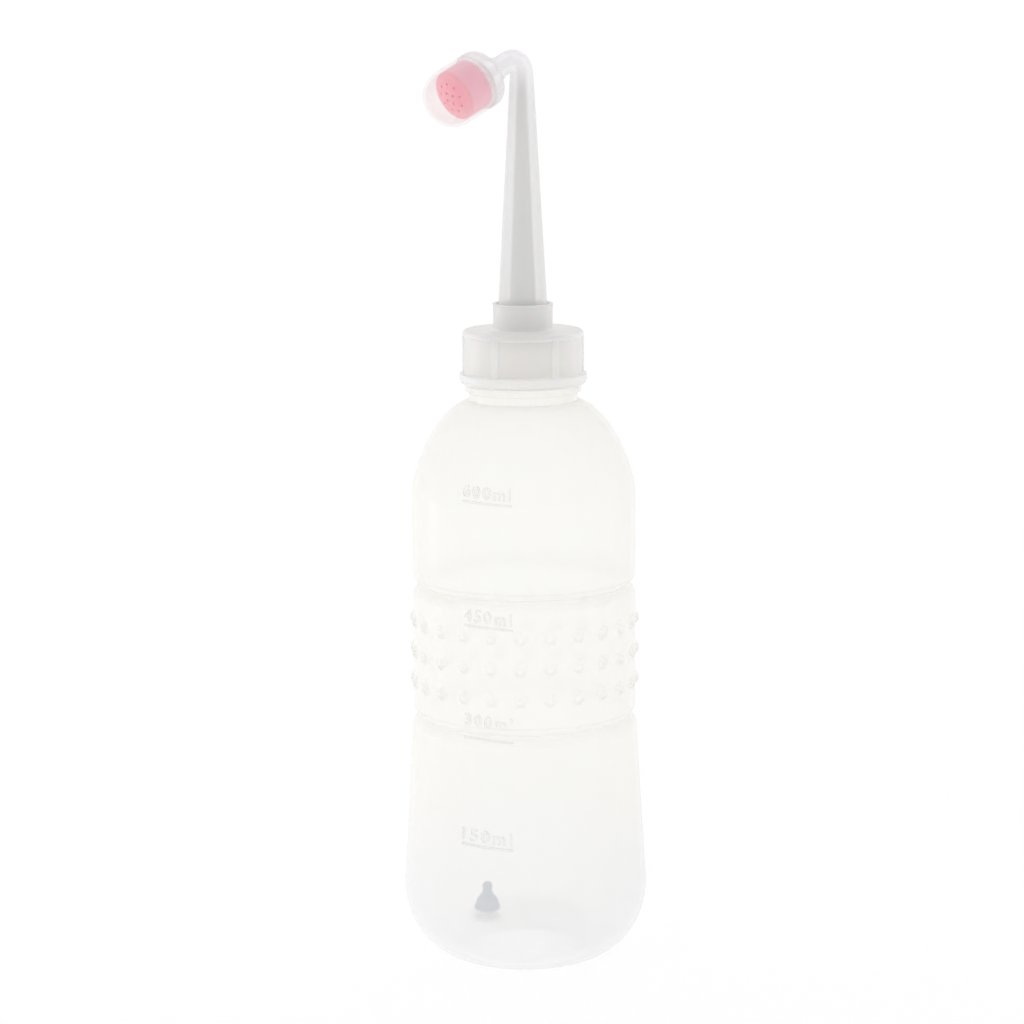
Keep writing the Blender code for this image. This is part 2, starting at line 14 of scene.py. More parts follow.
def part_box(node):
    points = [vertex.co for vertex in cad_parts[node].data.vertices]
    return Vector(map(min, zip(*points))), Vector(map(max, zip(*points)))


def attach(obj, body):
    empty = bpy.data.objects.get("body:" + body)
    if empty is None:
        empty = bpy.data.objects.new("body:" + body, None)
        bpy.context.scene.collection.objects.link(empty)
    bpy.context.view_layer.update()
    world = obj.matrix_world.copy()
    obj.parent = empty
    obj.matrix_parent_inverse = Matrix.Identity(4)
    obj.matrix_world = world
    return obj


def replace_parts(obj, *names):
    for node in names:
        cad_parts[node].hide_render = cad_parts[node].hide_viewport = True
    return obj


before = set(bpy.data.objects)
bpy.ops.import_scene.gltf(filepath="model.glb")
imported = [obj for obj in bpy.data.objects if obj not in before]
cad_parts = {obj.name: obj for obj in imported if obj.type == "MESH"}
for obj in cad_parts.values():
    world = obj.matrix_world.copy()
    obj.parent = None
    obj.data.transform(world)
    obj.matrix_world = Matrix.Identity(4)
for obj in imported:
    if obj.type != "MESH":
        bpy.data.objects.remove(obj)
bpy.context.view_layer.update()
_, bottle_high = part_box("bottle")
cap_low, cap_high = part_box("cap")
gasket_low, gasket_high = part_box("cap_gasket")
plug_low, plug_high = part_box("valve_plug")
bill_low, bill_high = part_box("valve_duckbill")

MM = 0.001

# Bottle body, from the driving dimensions of the part
WALL = 1.2 * MM
BODY_R = 35.75 * MM
SHOULDER_TOP_Z = 182.2 * MM
SHOULDER_Z = 152.0 * MM
SHOULDER_POWER = 1.6
SHOULDER_STEPS = 30
UPPER_ROWS_Z = (145.0 * MM, 135.0 * MM)
LOWER_TOP_R = 36.2 * MM
LOWER_TOP_Z = 75.5 * MM
LOWER_ROWS_Z = (66.0 * MM, 55.0 * MM, 44.0 * MM, 34.0 * MM, 28.0 * MM)
BELLY_R = bottle_high.x
BELLY_Z = 24.0 * MM
BASE_ARC_R = 19.6 * MM
BASE_ARC_STEPS = 18
STAND_INNER_R = 17.9 * MM
FLOOR_R = 17.5 * MM
FLOOR_Z = plug_low.z + 1.5 * MM
GROOVE_HALF = 3.7 * MM
GROOVE_STEPS = 18
UPPER_GROOVE_Z = 123.1 * MM
UPPER_GROOVE_DEPTH = 2.6 * MM
LOWER_GROOVE_Z = 80.3 * MM
LOWER_GROOVE_DEPTH = 2.1 * MM
# A painted shade line along the upper lip of each groove: its half-width, its height above the
# groove's middle, and its strength
GROOVE_SHADE_WIDTH = 0.70 * MM
GROOVE_LIP = 2.3 * MM
GROOVE_SHADE_STRENGTH = 0.6
NECK_R = 17.2 * MM
NECK_BORE_R = 14.8 * MM
FINISH_R = 16.0 * MM
RIM_Z = bottle_high.z
BEAD_R = 18.5 * MM
BEAD_TOP_Z = 187.4 * MM
BEAD_BOTTOM_Z = 185.0 * MM
LIP_EDGE_R = 0.5 * MM
BODY_SEGMENTS = 180

# Thread of the neck and of the cap
PITCH = 4.0 * MM
THREAD_TURNS = 1.3
THREAD_START_Z = 190.3 * MM
THREAD_CREST_R = 17.2 * MM
THREAD_HALF_CREST = 0.3 * MM
THREAD_HALF_ROOT = 0.75 * MM
CAP_THREAD_CREST_R = 16.4 * MM
CAP_THREAD_DROP = 1.5 * MM
THREAD_SINK = 0.3 * MM
THREAD_EDGE = 0.15 * MM
THREAD_STEPS = 130

# Grip nubs and graduations
NUB_COUNT = 24
NUB_PHASE = math.radians(-2.4)
NUB_ROWS_Z = (91.8 * MM, 101.7 * MM, 111.6 * MM)
NUB_R = 2.5 * MM
NUB_HEIGHT = 1.2 * MM
BAND_LOW_Z = 88.0 * MM
BAND_HIGH_Z = 115.4 * MM
BAND_MARGIN = 1.2 * MM
BAND_ROWS = 46
MARK_AZIMUTH = math.radians(-32.0)
MARK_SWEEP = math.radians(26.0)
MARK_DROP = 1.0 * MM
BAR_WIDTH = 0.7 * MM
BAR_SINK = 0.25 * MM
BAR_EDGE = 0.12 * MM
BAR_STEPS = 36
MARK_PROUD = 0.35 * MM
# The numeral, the height of its bar, and the lift of the numeral above the bar
MARKS = (
    ("600ml", 154.7 * MM, 1.5 * MM), ("450ml", 115.4 * MM, 1.5 * MM),
    ("300ml", 79.5 * MM, 3.9 * MM), ("150ml", 45.3 * MM, 1.5 * MM),
)
NUMERAL_HEIGHT = 4.0 * MM
NUMERAL_SHARE = 0.97
NUMERAL_INDENT = 0.01
NUMERAL_CREASE = 30.0

# Air valve
VALVE_AT = Vector(((plug_low.x + plug_high.x) / 2, (plug_low.y + plug_high.y) / 2, 0.0))
BOSS_R = 4.6 * MM
BOSS_TOP_Z = FLOOR_Z + 2.0 * MM
BOSS_EDGE = 0.2 * MM
VALVE_HOLE_R = 2.9 * MM
PLUG_BORE_R = 1.6 * MM
PLUG_R = 2.6 * MM
PLUG_FLANGE_R = 4.6 * MM
PLUG_FLANGE_Z = plug_low.z + 1.2 * MM
BILL_TIP_R = 1.7 * MM
BILL_BORE_R = 2.9 * MM
BILL_FOOT_R = 4.2 * MM
BILL_SLIT_HALF = 0.25 * MM
BILL_SLIT_DEPTH = 0.3 * MM
VALVE_SEGMENTS = 64

# Cap
CAP_R = 19.3 * MM
CAP_PANEL_R = 18.8 * MM
CAP_TOP_Z = 204.6 * MM
CAP_BOTTOM_Z = cap_low.z
CAP_EDGE_R = 1.2 * MM
CAP_INNER_R = 17.6 * MM
CAP_CEILING_Z = 201.2 * MM
FLANGE_R = cap_high.x
FLANGE_TOP_Z = 190.8 * MM
PANEL_TOP_Z = 203.0 * MM
RIB_COUNT = 6
RIB_AZIMUTH = math.radians(32.0)
RIB_WIDTH = 2.2 * MM
RIB_FOOT = 1.25
RIB_FLANK = 0.35
CAP_SEGMENTS = 360
COLLAR_R = 9.45 * MM
COLLAR_LIP = 0.2 * MM
COLLAR_TOP_Z = cap_high.z
COLLAR_BORE_R = 8.4 * MM
POCKET_R = 12.4 * MM
POCKET_Z = 202.9 * MM
GASKET_INNER_R = 9.0 * MM
GASKET_SEGMENTS = 144

# Nozzle
SHANK_R = 7.9 * MM
SEAL_GROOVE_R = 6.5 * MM
SEAL_GROOVE_Z = (206.5 * MM, 208.5 * MM)
SEAL_R = 7.45 * MM
SEAL_CORD_R = 0.65 * MM
SEAL_SEGMENTS = 120
SEAL_CREASE = 60.0
NOZZLE_FLANGE_R = 12.0 * MM
NOZZLE_FLANGE_TOP_Z = 202.6 * MM
TUBE_STATIONS = ((7.7 * MM, COLLAR_TOP_Z), (5.65 * MM, 250.0 * MM), (3.95 * MM, 280.5 * MM))
TUBE_TOP_R = 3.6 * MM
KNEE = Vector((0.0, 0.0, 291.3 * MM))
BEND_R = 3.9 * MM
ARM_DIP = math.radians(25.0)
ARM_AZIMUTH = math.radians(-51.5)
ARM_R = 3.4 * MM
BORE_BASE_R = 4.6 * MM
BORE_TOP_R = 1.4 * MM
BORE_TOP_Z = 282.0 * MM
NOZZLE_EDGE_R = 0.3 * MM
NOZZLE_SEGMENTS = 96
KNEE_STEPS = 28
BORE_KNEE_STEPS = 18

# Bell, spray head and dust cap, as distances along the arm from the knee
BELL_START = 10.5 * MM
BELL_NECK_R = 4.6 * MM
BELL_R = 9.33 * MM
BELL_FILLET = 4.2 * MM
BELL_FILLET_AT = 18.5 * MM
BELL_FACE = 20.0 * MM
STEP_R = 8.05 * MM
STEP_END = 20.8 * MM
SPIGOT_R = 6.7 * MM
SPIGOT_END = 26.8 * MM
CAVITY_R = 5.2 * MM
CAVITY_START = 16.5 * MM
HEAD_R = 8.0 * MM
HEAD_WALL = 1.0 * MM
HEAD_EDGE_R = 0.9 * MM
HEAD_START = 21.1 * MM
HEAD_RIM = 29.9 * MM
HEAD_TIP = 31.3 * MM
HOLE_R = 0.45 * MM
# The count of holes, the radius of their ring, and the turn of the first one
HOLE_RINGS = ((4, 1.9 * MM, math.radians(26.0)), (9, 4.6 * MM, math.radians(5.6)))
CROWN_STEPS = 12
DUST_CAP_R = 9.33 * MM
DUST_CAP_WALL = 0.98 * MM
DUST_CAP_START = 20.3 * MM
DUST_CAP_DOME = 30.0 * MM
DUST_CAP_LIP = 1.0 * MM

# Opacity of the walls and marks where they are seen straight on
OUTER_HAZE = 0.32
INNER_HAZE = 0.03
MARK_FACE_HAZE = 0.06
MARK_EDGE_HAZE = 0.32
CAP_HAZE = 0.52
NOZZLE_HAZE = 0.42
DUST_CAP_HAZE = 0.135
HEAD_HAZE = 0.60
HOLE_HAZE = 0.85

# Refraction of the plastics
POLYETHYLENE_IOR = 1.5
POLYPROPYLENE_IOR = 1.49
PINK_IOR = 1.5
SILICONE_IOR = 1.41

# The sharpest turn that is shaded smooth, in degrees
CREASE = 38.0

# Half the width of a mould seam, in radians round the body
SEAM_HALF = 0.010

# Points closer than this become one
MERGE_DISTANCE = 0.001 * MM

UP = Vector((0.0, 0.0, 1.0))


def world_angle(azimuth):
    """The angle about +Z from +X of an azimuth that is measured from -Y."""
    return azimuth - math.pi / 2


ARM_LEVEL = Vector((math.cos(world_angle(ARM_AZIMUTH)), math.sin(world_angle(ARM_AZIMUTH)), 0.0))
ARM = ARM_LEVEL * math.cos(ARM_DIP) - UP * math.sin(ARM_DIP)
BEND_AXIS = UP.cross(ARM_LEVEL)
HEAD_PLACE = Matrix.Translation(KNEE) @ ARM.to_track_quat("Z", "Y").to_matrix().to_4x4()


# ---------------------------------------------------------------- finishes


class Value:
    """One output of a node, so that sums and products of outputs are written as such."""

    def __init__(self, finish, socket):
        self.finish = finish
        self.socket = socket

    def math(self, operation, first, second=0.0):
        return self.finish.node("ShaderNodeMath", {"operation": operation}, {0: first, 1: second})

    def __add__(self, other):
        return self.math("ADD", self, other)

    def __radd__(self, other):
        return self.math("ADD", other, self)

    def __sub__(self, other):
        return self.math("SUBTRACT", self, other)

    def __rsub__(self, other):
        return self.math("SUBTRACT", other, self)

    def __mul__(self, other):
        return self.math("MULTIPLY", self, other)

    def __rmul__(self, other):
        return self.math("MULTIPLY", other, self)

    def __truediv__(self, other):
        return self.math("DIVIDE", self, other)

    def __rtruediv__(self, other):
        return self.math("DIVIDE", other, self)

    def __pow__(self, other):
        return self.math("POWER", self, other)

    def __rpow__(self, other):
        return self.math("POWER", other, self)

    def __abs__(self):
        return self.math("ABSOLUTE", self)

    def output(self, name):
        """Another output of the same node."""
        return Value(self.finish, self.socket.node.outputs[name])

    def step(self, start, end):
        """Rises smoothly from 0 to 1 as this value goes from start to end."""
        return self.finish.node(
            "ShaderNodeMapRange",
            {"interpolation_type": "SMOOTHSTEP"},
            {"Value": self, "From Min": start, "From Max": end, "To Min": 0.0, "To Max": 1.0},
        )


class Finish:
    """The nodes of one material, or of the world."""

    def __init__(self, owner):
        owner.use_nodes = True
        self.owner = owner
        self.tree = owner.node_tree

    def node(self, kind, settings=None, sockets=None, output=0):
        """Adds a node: its settings first, then the values or links of its sockets."""
        made = self.tree.nodes.new(kind)
        for name, value in (settings or {}).items():
            setattr(made, name, value)
        self.feed(made, sockets or {})
        return Value(self, made.outputs[output])

    def feed(self, node, sockets):
        """Sets or links the sockets of a node."""
        for name, value in sockets.items():
            if isinstance(value, Value):
                self.tree.links.new(value.socket, node.inputs[name])
            else:
                node.inputs[name].default_value = value

    def mix(self, factor, first, second):
        """A colour between two colours."""
        return self.node(
            "ShaderNodeMix", {"data_type": "RGBA"}, {0: factor, 6: first, 7: second}, output=2
        )

    def place(self):
        """Object coordinates, in metres."""
        return self.node("ShaderNodeTexCoord", output="Object")

    def stretched(self, place, scale):
        """The coordinates scaled on each axis, for streaks and brushed marks."""
        return self.node("ShaderNodeMapping", {}, {"Vector": place, "Scale": scale})

    def noise(self, place, scale, detail=3.0):
        """A soft random value from 0 to 1."""
        return self.node(
            "ShaderNodeTexNoise", {}, {"Vector": place, "Scale": scale, "Detail": detail}
        )

    def bump(self, height, distance):
        """A normal raised by a height from 0 to 1 over a distance in metres."""
        return self.node(
            "ShaderNodeBump", {}, {"Height": height, "Distance": distance, "Strength": 1.0}
        )


def rgb(red, green, blue):
    return (red, green, blue, 1.0)


def new_finish(name):
    return Finish(bpy.data.materials.new(name))


def shade(finish, sockets):
    """Feeds the material's shader."""
    finish.feed(finish.tree.nodes["Principled BSDF"], sockets)
    return finish.owner


def seen_through(finish, straight, least=0.3):
    """The opacity of a thin wall, which grows as the wall is seen more edge-on."""
    facing = finish.node("ShaderNodeLayerWeight", {}, {"Blend": 0.5}, "Facing")
    slant = finish.node("ShaderNodeMath", {"operation": "MAXIMUM"}, {0: 1 - facing, 1: least})
    return 1 - (1 - straight) ** (1 / slant)


def moulded(finish, place, peel=0.03 * MM, streak=0.5):
    """The flow streaks, scuffs and orange-peel normal that moulded plastics share."""
    peel_height = finish.noise(place, 620.0, 2.0)
    flow = finish.noise(finish.stretched(place, (90.0, 90.0, 9.0)), 1.0, 4.0)
    scuffs = finish.noise(finish.stretched(place, (420.0, 60.0, 760.0)), 1.0, 6.0).step(0.60, 0.78)
    height = peel_height * (1 - streak) + flow * streak
    return flow, scuffs, finish.bump(height, peel)


def frosted_polyethylene(name, haze):
    """Milky blown polyethylene: smoother above the lower groove, frosted below it."""
    finish = new_finish(name)
    place = finish.place()
    axes = finish.node("ShaderNodeSeparateXYZ", {}, {"Vector": place})
    height = axes.output("Z")
    frosted = 1 - height.step(LOWER_TOP_Z - 34.0 * MM, LOWER_GROOVE_Z + 2.0 * MM)
    low = 1 - height.step(BELLY_Z - 10.0 * MM, LOWER_TOP_Z)
    neck = height.step(SHOULDER_TOP_Z - 7.0 * MM, SHOULDER_TOP_Z + 2.0 * MM)
    thick = finish.noise(finish.stretched(place, (26.0, 26.0, 11.0)), 1.0, 2.0)
    streaks = finish.noise(finish.stretched(place, (210.0, 210.0, 5.0)), 1.0, 3.0)
    grain = finish.noise(place, 2600.0, 2.0)
    swirl = finish.noise(place, 95.0, 3.0)
    angle = finish.node(
        "ShaderNodeMath", {"operation": "ARCTAN2"}, {0: axes.output("Y"), 1: axes.output("X")}
    )
    seam = 1 - abs(angle - world_angle(MARK_AZIMUTH)).step(0.0, SEAM_HALF)
    seam_back = 1 - abs(angle - (world_angle(MARK_AZIMUTH) + math.pi)).step(0.0, SEAM_HALF)
    seams = seam + seam_back
    # Painted shade marked on the vertices: the lower flanks of the grip nubs and a line along each
    # groove's upper lip
    painted_shade = finish.node("ShaderNodeAttribute", {"attribute_name": "painted_shade"}, {}, "Fac")
    upper = finish.mix(thick, rgb(0.985, 0.975, 0.935), rgb(0.97, 0.962, 0.925))
    lower = finish.mix(thick, rgb(0.94, 0.938, 0.938), rgb(0.93, 0.928, 0.938))
    colour = finish.mix(low, upper, lower)
    colour = finish.mix(streaks * 0.03 + seams * 0.08, colour, rgb(0.88, 0.88, 0.87))
    # The painted shade darkens the colour towards a cool grey
    colour = finish.mix(painted_shade * 0.40, colour, rgb(0.45, 0.44, 0.50))
    scuffs = finish.noise(finish.stretched(place, (300.0, 300.0, 90.0)), 1.0, 5.0).step(0.58, 0.8)
    rough = 0.30 + frosted * 0.20 + grain * 0.04 + scuffs * 0.04
    clear = haze * (1 + frosted * 0.30 + neck * 0.1 + thick * 0.06)
    lift = swirl * (0.5 - 0.2 * frosted) + streaks * 0.2 + seams * 0.3 + frosted * grain * 0.2
    return shade(finish, {
        "Base Color": colour, "Roughness": rough, "Alpha": seen_through(finish, clear, 0.24),
        "Normal": finish.bump(lift, 0.08 * MM), "IOR": POLYETHYLENE_IOR,
        "Specular IOR Level": 0.5,
    })


def raised_marks(name, opacity):
    """The same plastic on the thin numerals and bars, coloured grey as painted shade, which mostly
    show at their edges.
    """
    finish = new_finish(name)
    place = finish.place()
    grain = finish.noise(place, 1500.0, 3.0)
    # Grey that paints shade along the edges of the marks
    colour = finish.mix(grain, rgb(0.80, 0.80, 0.79), rgb(0.70, 0.70, 0.70))
    return shade(finish, {
        "Base Color": colour, "Roughness": 0.30 + grain * 0.10, "IOR": POLYETHYLENE_IOR,
        "Alpha": opacity + grain * 0.04, "Normal": finish.bump(grain, 0.03 * MM),
    })


def cap_polypropylene():
    """Natural polypropylene, thick enough to hide most of what is inside."""
    finish = new_finish("cap_polypropylene")
    place = finish.place()
    flow, scuffs, normal = moulded(finish, place)
    cloud = finish.noise(place, 60.0, 2.0)
    axes = finish.node("ShaderNodeSeparateXYZ", {}, {"Vector": place})
    # Painted shade: the collar is coloured darker. Painted highlight: the faces of the ribs are
    # coloured lighter.
    collar = axes.output("Z").step(CAP_TOP_Z - 1.0 * MM, CAP_TOP_Z + 3.0 * MM)
    out_r = (axes.output("X") ** 2 + axes.output("Y") ** 2) ** 0.5
    rib = out_r.step(CAP_PANEL_R + 0.1 * MM, CAP_R)
    panel = finish.mix(cloud, rgb(0.92, 0.905, 0.89), rgb(0.89, 0.875, 0.86))
    # Painted shade on the collar
    colour = finish.mix(collar, panel, rgb(0.87, 0.865, 0.86))
    # Painted highlight on the faces of the ribs
    colour = finish.mix(rib * 0.8, colour, rgb(0.97, 0.965, 0.96))
    colour = finish.mix(flow * 0.2 + scuffs * 0.12, colour, rgb(0.92, 0.92, 0.915))
    return shade(finish, {
        "Base Color": colour, "Roughness": 0.30 + flow * 0.08 + scuffs * 0.14,
        "Alpha": seen_through(finish, CAP_HAZE + cloud * 0.06, 0.5), "Normal": normal,
        "IOR": POLYPROPYLENE_IOR, "Subsurface Weight": 0.15, "Subsurface Scale": 1.5 * MM,
    })


def near_knee(finish, place):
    """From 0 on the tube of the nozzle to 1 at its knee, where the wall is thin."""
    height = finish.node("ShaderNodeSeparateXYZ", {}, {"Vector": place}, "Z")
    return height.step(KNEE.z - 14.0 * MM, KNEE.z - 2.0 * MM)


def natural_polypropylene():
    """Natural polypropylene of the nozzle, more see-through where the wall thins to the knee."""
    finish = new_finish("natural_polypropylene")
    place = finish.place()
    flow, scuffs, normal = moulded(finish, place, 0.025 * MM, 0.7)
    thin = near_knee(finish, place)
    colour = finish.mix(flow, rgb(0.88, 0.88, 0.875), rgb(0.85, 0.85, 0.845))
    colour = finish.mix(thin, colour, rgb(0.91, 0.90, 0.92))
    return shade(finish, {
        "Base Color": colour, "Roughness": 0.29 + flow * 0.08 + scuffs * 0.14,
        "Alpha": seen_through(finish, NOZZLE_HAZE - thin * 0.11, 0.4), "Normal": normal,
        "IOR": POLYPROPYLENE_IOR, "Subsurface Weight": 0.1, "Subsurface Scale": 1.5 * MM,
    })


def nozzle_bore_shade():
    """The inside of the nozzle, coloured dark grey as painted shade, which shows through its wall
    as a soft grey core.
    """
    finish = new_finish("nozzle_bore_shade")
    place = finish.place()
    flow = finish.noise(finish.stretched(place, (120.0, 120.0, 14.0)), 1.0, 3.0)
    thin = near_knee(finish, place)
    # Painted shade in the bore, lighter towards the knee
    colour = finish.mix(flow, rgb(0.60, 0.595, 0.585), rgb(0.55, 0.545, 0.54))
    colour = finish.mix(thin, colour, rgb(0.84, 0.83, 0.845))
    return shade(finish, {
        "Base Color": colour, "Roughness": 0.55 + flow * 0.1, "IOR": POLYPROPYLENE_IOR,
        "Alpha": NOZZLE_HAZE + flow * 0.06 - thin * 0.20,
        "Normal": finish.bump(flow, 0.02 * MM),
    })


def clear_polypropylene():
    """Clear polypropylene of the dust cap, with a little haze."""
    finish = new_finish("clear_polypropylene")
    place = finish.place()
    flow, scuffs, normal = moulded(finish, place, 0.02 * MM)
    colour = finish.mix(flow, rgb(0.95, 0.90, 0.90), rgb(0.91, 0.865, 0.87))
    return shade(finish, {
        "Base Color": colour, "Roughness": 0.14 + flow * 0.07 + scuffs * 0.12,
        "Alpha": seen_through(finish, DUST_CAP_HAZE + flow * 0.015, 0.6), "Normal": normal,
        "IOR": POLYPROPYLENE_IOR,
    })


def pink_plastic(name, pale, deep, opacity):
    """Soft pink moulded plastic, with a painted paler highlight on its side wall, and paler where
    it is scuffed.
    """
    finish = new_finish(name)
    place = finish.place()
    flow, scuffs, normal = moulded(finish, place, 0.03 * MM)
    cloud = finish.noise(place, 160.0, 2.0)
    colour = finish.mix(cloud, pale, deep)
    from_knee = finish.node("ShaderNodeVectorMath", {"operation": "SUBTRACT"}, {0: place, 1: KNEE})
    along = finish.node(
        "ShaderNodeVectorMath", {"operation": "DOT_PRODUCT"}, {0: from_knee, 1: ARM}, "Value"
    )
    # Painted highlight: the side wall is coloured paler pink
    side_highlight = 1 - along.step(HEAD_RIM - 2.0 * MM, HEAD_RIM - 0.3 * MM)
    colour = finish.mix(side_highlight * 0.7, colour, rgb(1.0, 0.54, 0.69))
    colour = finish.mix(scuffs * 0.3 + flow * 0.12, colour, rgb(1.0, 0.52, 0.60))
    return shade(finish, {
        "Base Color": colour, "Roughness": 0.32 + flow * 0.10 + scuffs * 0.15,
        "Alpha": seen_through(finish, opacity + cloud * 0.05, 0.5), "Normal": normal,
        "IOR": PINK_IOR, "Subsurface Weight": 0.12, "Subsurface Scale": 1.0 * MM,
    })


def silicone(name, pale, deep):
    """Matt silicone rubber with a fine moulded bloom."""
    finish = new_finish(name)
    place = finish.place()
    bloom = finish.noise(place, 900.0, 4.0)
    cloud = finish.noise(place, 220.0, 2.0)
    colour = finish.mix(cloud * 0.7 + bloom * 0.3, pale, deep)
    return shade(finish, {
        "Base Color": colour, "Roughness": 0.46 + bloom * 0.16,
        "Normal": finish.bump(bloom, 0.03 * MM), "IOR": SILICONE_IOR,
    })


# ---------------------------------------------------------------- shapes


def soften(profile, radius, closed=False):
    """The profile with its sharp corners rounded off."""
    points = [Vector(p) for p in profile]
    count = len(points)
    made = []
    for i, corner in enumerate(points):
        if not closed and i in (0, count - 1):
            made.append(corner)
            continue
        before = points[i - 1] - corner
        after = points[(i + 1) % count] - corner
        turned = math.pi - before.angle(after)
        if turned < math.radians(22):
            made.append(corner)
            continue
        cut = min(radius, before.length * 0.4, after.length * 0.4)
        start = corner + before.normalized() * cut
        end = corner + after.normalized() * cut
        for t in (0.0, 0.33, 0.67, 1.0):
            made.append(start * (1 - t) ** 2 + corner * 2 * t * (1 - t) + end * t**2)
    return [tuple(p) for p in made]


def arc(centre, radius, start, end, steps):
    """Points of an arc of (radius, height) points, angles in degrees from the outward direction."""
    turns = [math.radians(start + (end - start) * i / steps) for i in range(steps + 1)]
    return [(centre[0] + radius * math.cos(a), centre[1] + radius * math.sin(a)) for a in turns]


def spun(profile, steps, closed=False):
    """A bmesh turned from a profile of (radius, height) points about +Z."""
    bm = bmesh.new()
    verts = [bm.verts.new((r, 0.0, z)) for r, z in profile]
    edges = [bm.edges.new(pair) for pair in zip(verts, verts[1:])]
    if closed:
        edges.append(bm.edges.new((verts[-1], verts[0])))
    bmesh.ops.spin(
        bm, geom=verts + edges, cent=(0, 0, 0), axis=(0, 0, 1),
        angle=2 * math.pi, steps=steps, use_merge=True, use_duplicate=False,
    )
    bmesh.ops.remove_doubles(bm, verts=bm.verts, dist=MERGE_DISTANCE)
    return bm


def swept(bm, section, start, sweep, steps, rise):
    """Sweeps a flat section of (radius, height) points about +Z, rising as it goes."""
    corners = [bm.verts.new((r, 0.0, z)) for r, z in section]
    bmesh.ops.rotate(bm, verts=corners, cent=(0, 0, 0), matrix=Matrix.Rotation(start, 3, "Z"))
    face = bm.faces.new(corners)
    bmesh.ops.spin(
        bm, geom=[face], cent=(0, 0, 0), axis=(0, 0, 1), dvec=(0, 0, rise / steps),
        angle=sweep, steps=steps, use_duplicate=False,
    )


def finished(bm, name, body, finish, crease=CREASE):
    """Makes the bmesh a piece of the object that rides on a body."""
    bmesh.ops.recalc_face_normals(bm, faces=bm.faces)
    mesh = bpy.data.meshes.new(name)
    bm.to_mesh(mesh)
    bm.free()
    mesh.polygons.foreach_set("use_smooth", [True] * len(mesh.polygons))
    mesh.set_sharp_from_angle(angle=math.radians(crease))
    mesh.materials.append(finish)
    piece = bpy.data.objects.new(name, mesh)
    bpy.context.scene.collection.objects.link(piece)
    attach(piece, body)
    return piece


def extend(bm, rim, old, new, radius):
    """Extrudes an open rim and lays the new rim on a circle, each point at the turn it had."""
    grown = bmesh.ops.extrude_edge_only(bm, edges=rim)["geom"]
    origin, across, up = old
    for vert in (g for g in grown if isinstance(g, bmesh.types.BMVert)):
        arm = vert.co - origin
        turned = math.atan2(arm.dot(up), arm.dot(across))
        out = new[1] * math.cos(turned) + new[2] * math.sin(turned)
        vert.co = new[0] + out * radius
    return [g for g in grown if isinstance(g, bmesh.types.BMEdge)]


def lofted(stations, segments, bore_from):
    """A closed ring of skin through stations of (origin, tangent, radius), its bore in slot 1."""
    bm = bmesh.new()
    frames = [(origin, BEND_AXIS, tangent.cross(BEND_AXIS)) for origin, tangent, _ in stations]
    origin, across, up = frames[0]
    circle = bmesh.ops.create_circle(bm, segments=segments, radius=stations[0][2])
    turn = Matrix((across, up, across.cross(up))).transposed().to_4x4()
    bmesh.ops.transform(bm, matrix=Matrix.Translation(origin) @ turn, verts=circle["verts"])
    first = list(bm.edges)
    rim = first
    for i, station in enumerate(stations[1:], start=1):
        before = set(bm.faces)
        rim = extend(bm, rim, frames[i - 1], frames[i], station[2])
        for face in set(bm.faces) - before:
            face.material_index = 1 if i >= bore_from else 0
    bmesh.ops.bridge_loops(bm, edges=first + rim)
    return bm


def lower_body_r(z):
    """The radius of the flared lower body, growing downwards."""
    return LOWER_TOP_R + (BELLY_R - LOWER_TOP_R) * (LOWER_TOP_Z - z) / (LOWER_TOP_Z - BELLY_Z)


def body_r(z):
    """The outside radius of the plain body at a height."""
    return BODY_R if z > LOWER_GROOVE_Z else lower_body_r(z)


def groove(z, depth, r_above, r_below):
    """A sharp-bottomed groove between two rounded edges of the body, from top to bottom."""
    points = []
    for i in range(GROOVE_STEPS + 1):
        stop = 2 * i / GROOVE_STEPS - 1
        r = r_above + (r_below - r_above) * (stop + 1) / 2
        points.append((r - depth * (1 - abs(stop)) ** 2, z - GROOVE_HALF * stop))
    return points


def bottle_outline():
    """The outside of the body, from the foot of the neck down to the edge of the floor."""
    points = []
    power = 2 / SHOULDER_POWER
    for i in range(SHOULDER_STEPS + 1):
        a = math.radians(90 / SHOULDER_STEPS * i)
        r = NECK_R + (BODY_R - NECK_R) * math.sin(a) ** power
        z = SHOULDER_Z + (SHOULDER_TOP_Z - SHOULDER_Z) * max(math.cos(a), 0.0) ** power
        points.append((r, z))
    points += [(BODY_R, z) for z in UPPER_ROWS_Z]
    points += groove(UPPER_GROOVE_Z, UPPER_GROOVE_DEPTH, BODY_R, BODY_R)
    band = BAND_HIGH_Z - BAND_LOW_Z + 2 * BAND_MARGIN
    points += [
        (BODY_R, BAND_HIGH_Z + BAND_MARGIN - band * i / BAND_ROWS) for i in range(BAND_ROWS + 1)
    ]
    points += groove(LOWER_GROOVE_Z, LOWER_GROOVE_DEPTH, BODY_R, LOWER_TOP_R)
    points += [(lower_body_r(z), z) for z in LOWER_ROWS_Z]
    for i in range(BASE_ARC_STEPS + 1):
        a = math.radians(90 / BASE_ARC_STEPS * i)
        r = BASE_ARC_R + (BELLY_R - BASE_ARC_R) * math.cos(a)
        points.append((r, BELLY_Z * (1 - math.sin(a))))
    stand = [
        (STAND_INNER_R + 0.5 * MM, 0.0), (STAND_INNER_R + 0.1 * MM, 0.15 * MM),
        (STAND_INNER_R, 0.6 * MM),
    ]
    recess = [
        (FLOOR_R + 0.4 * MM, FLOOR_Z - 0.6 * MM), (FLOOR_R + 0.28 * MM, FLOOR_Z - 0.2 * MM),
        (FLOOR_R, FLOOR_Z),
    ]
    return points + stand + recess


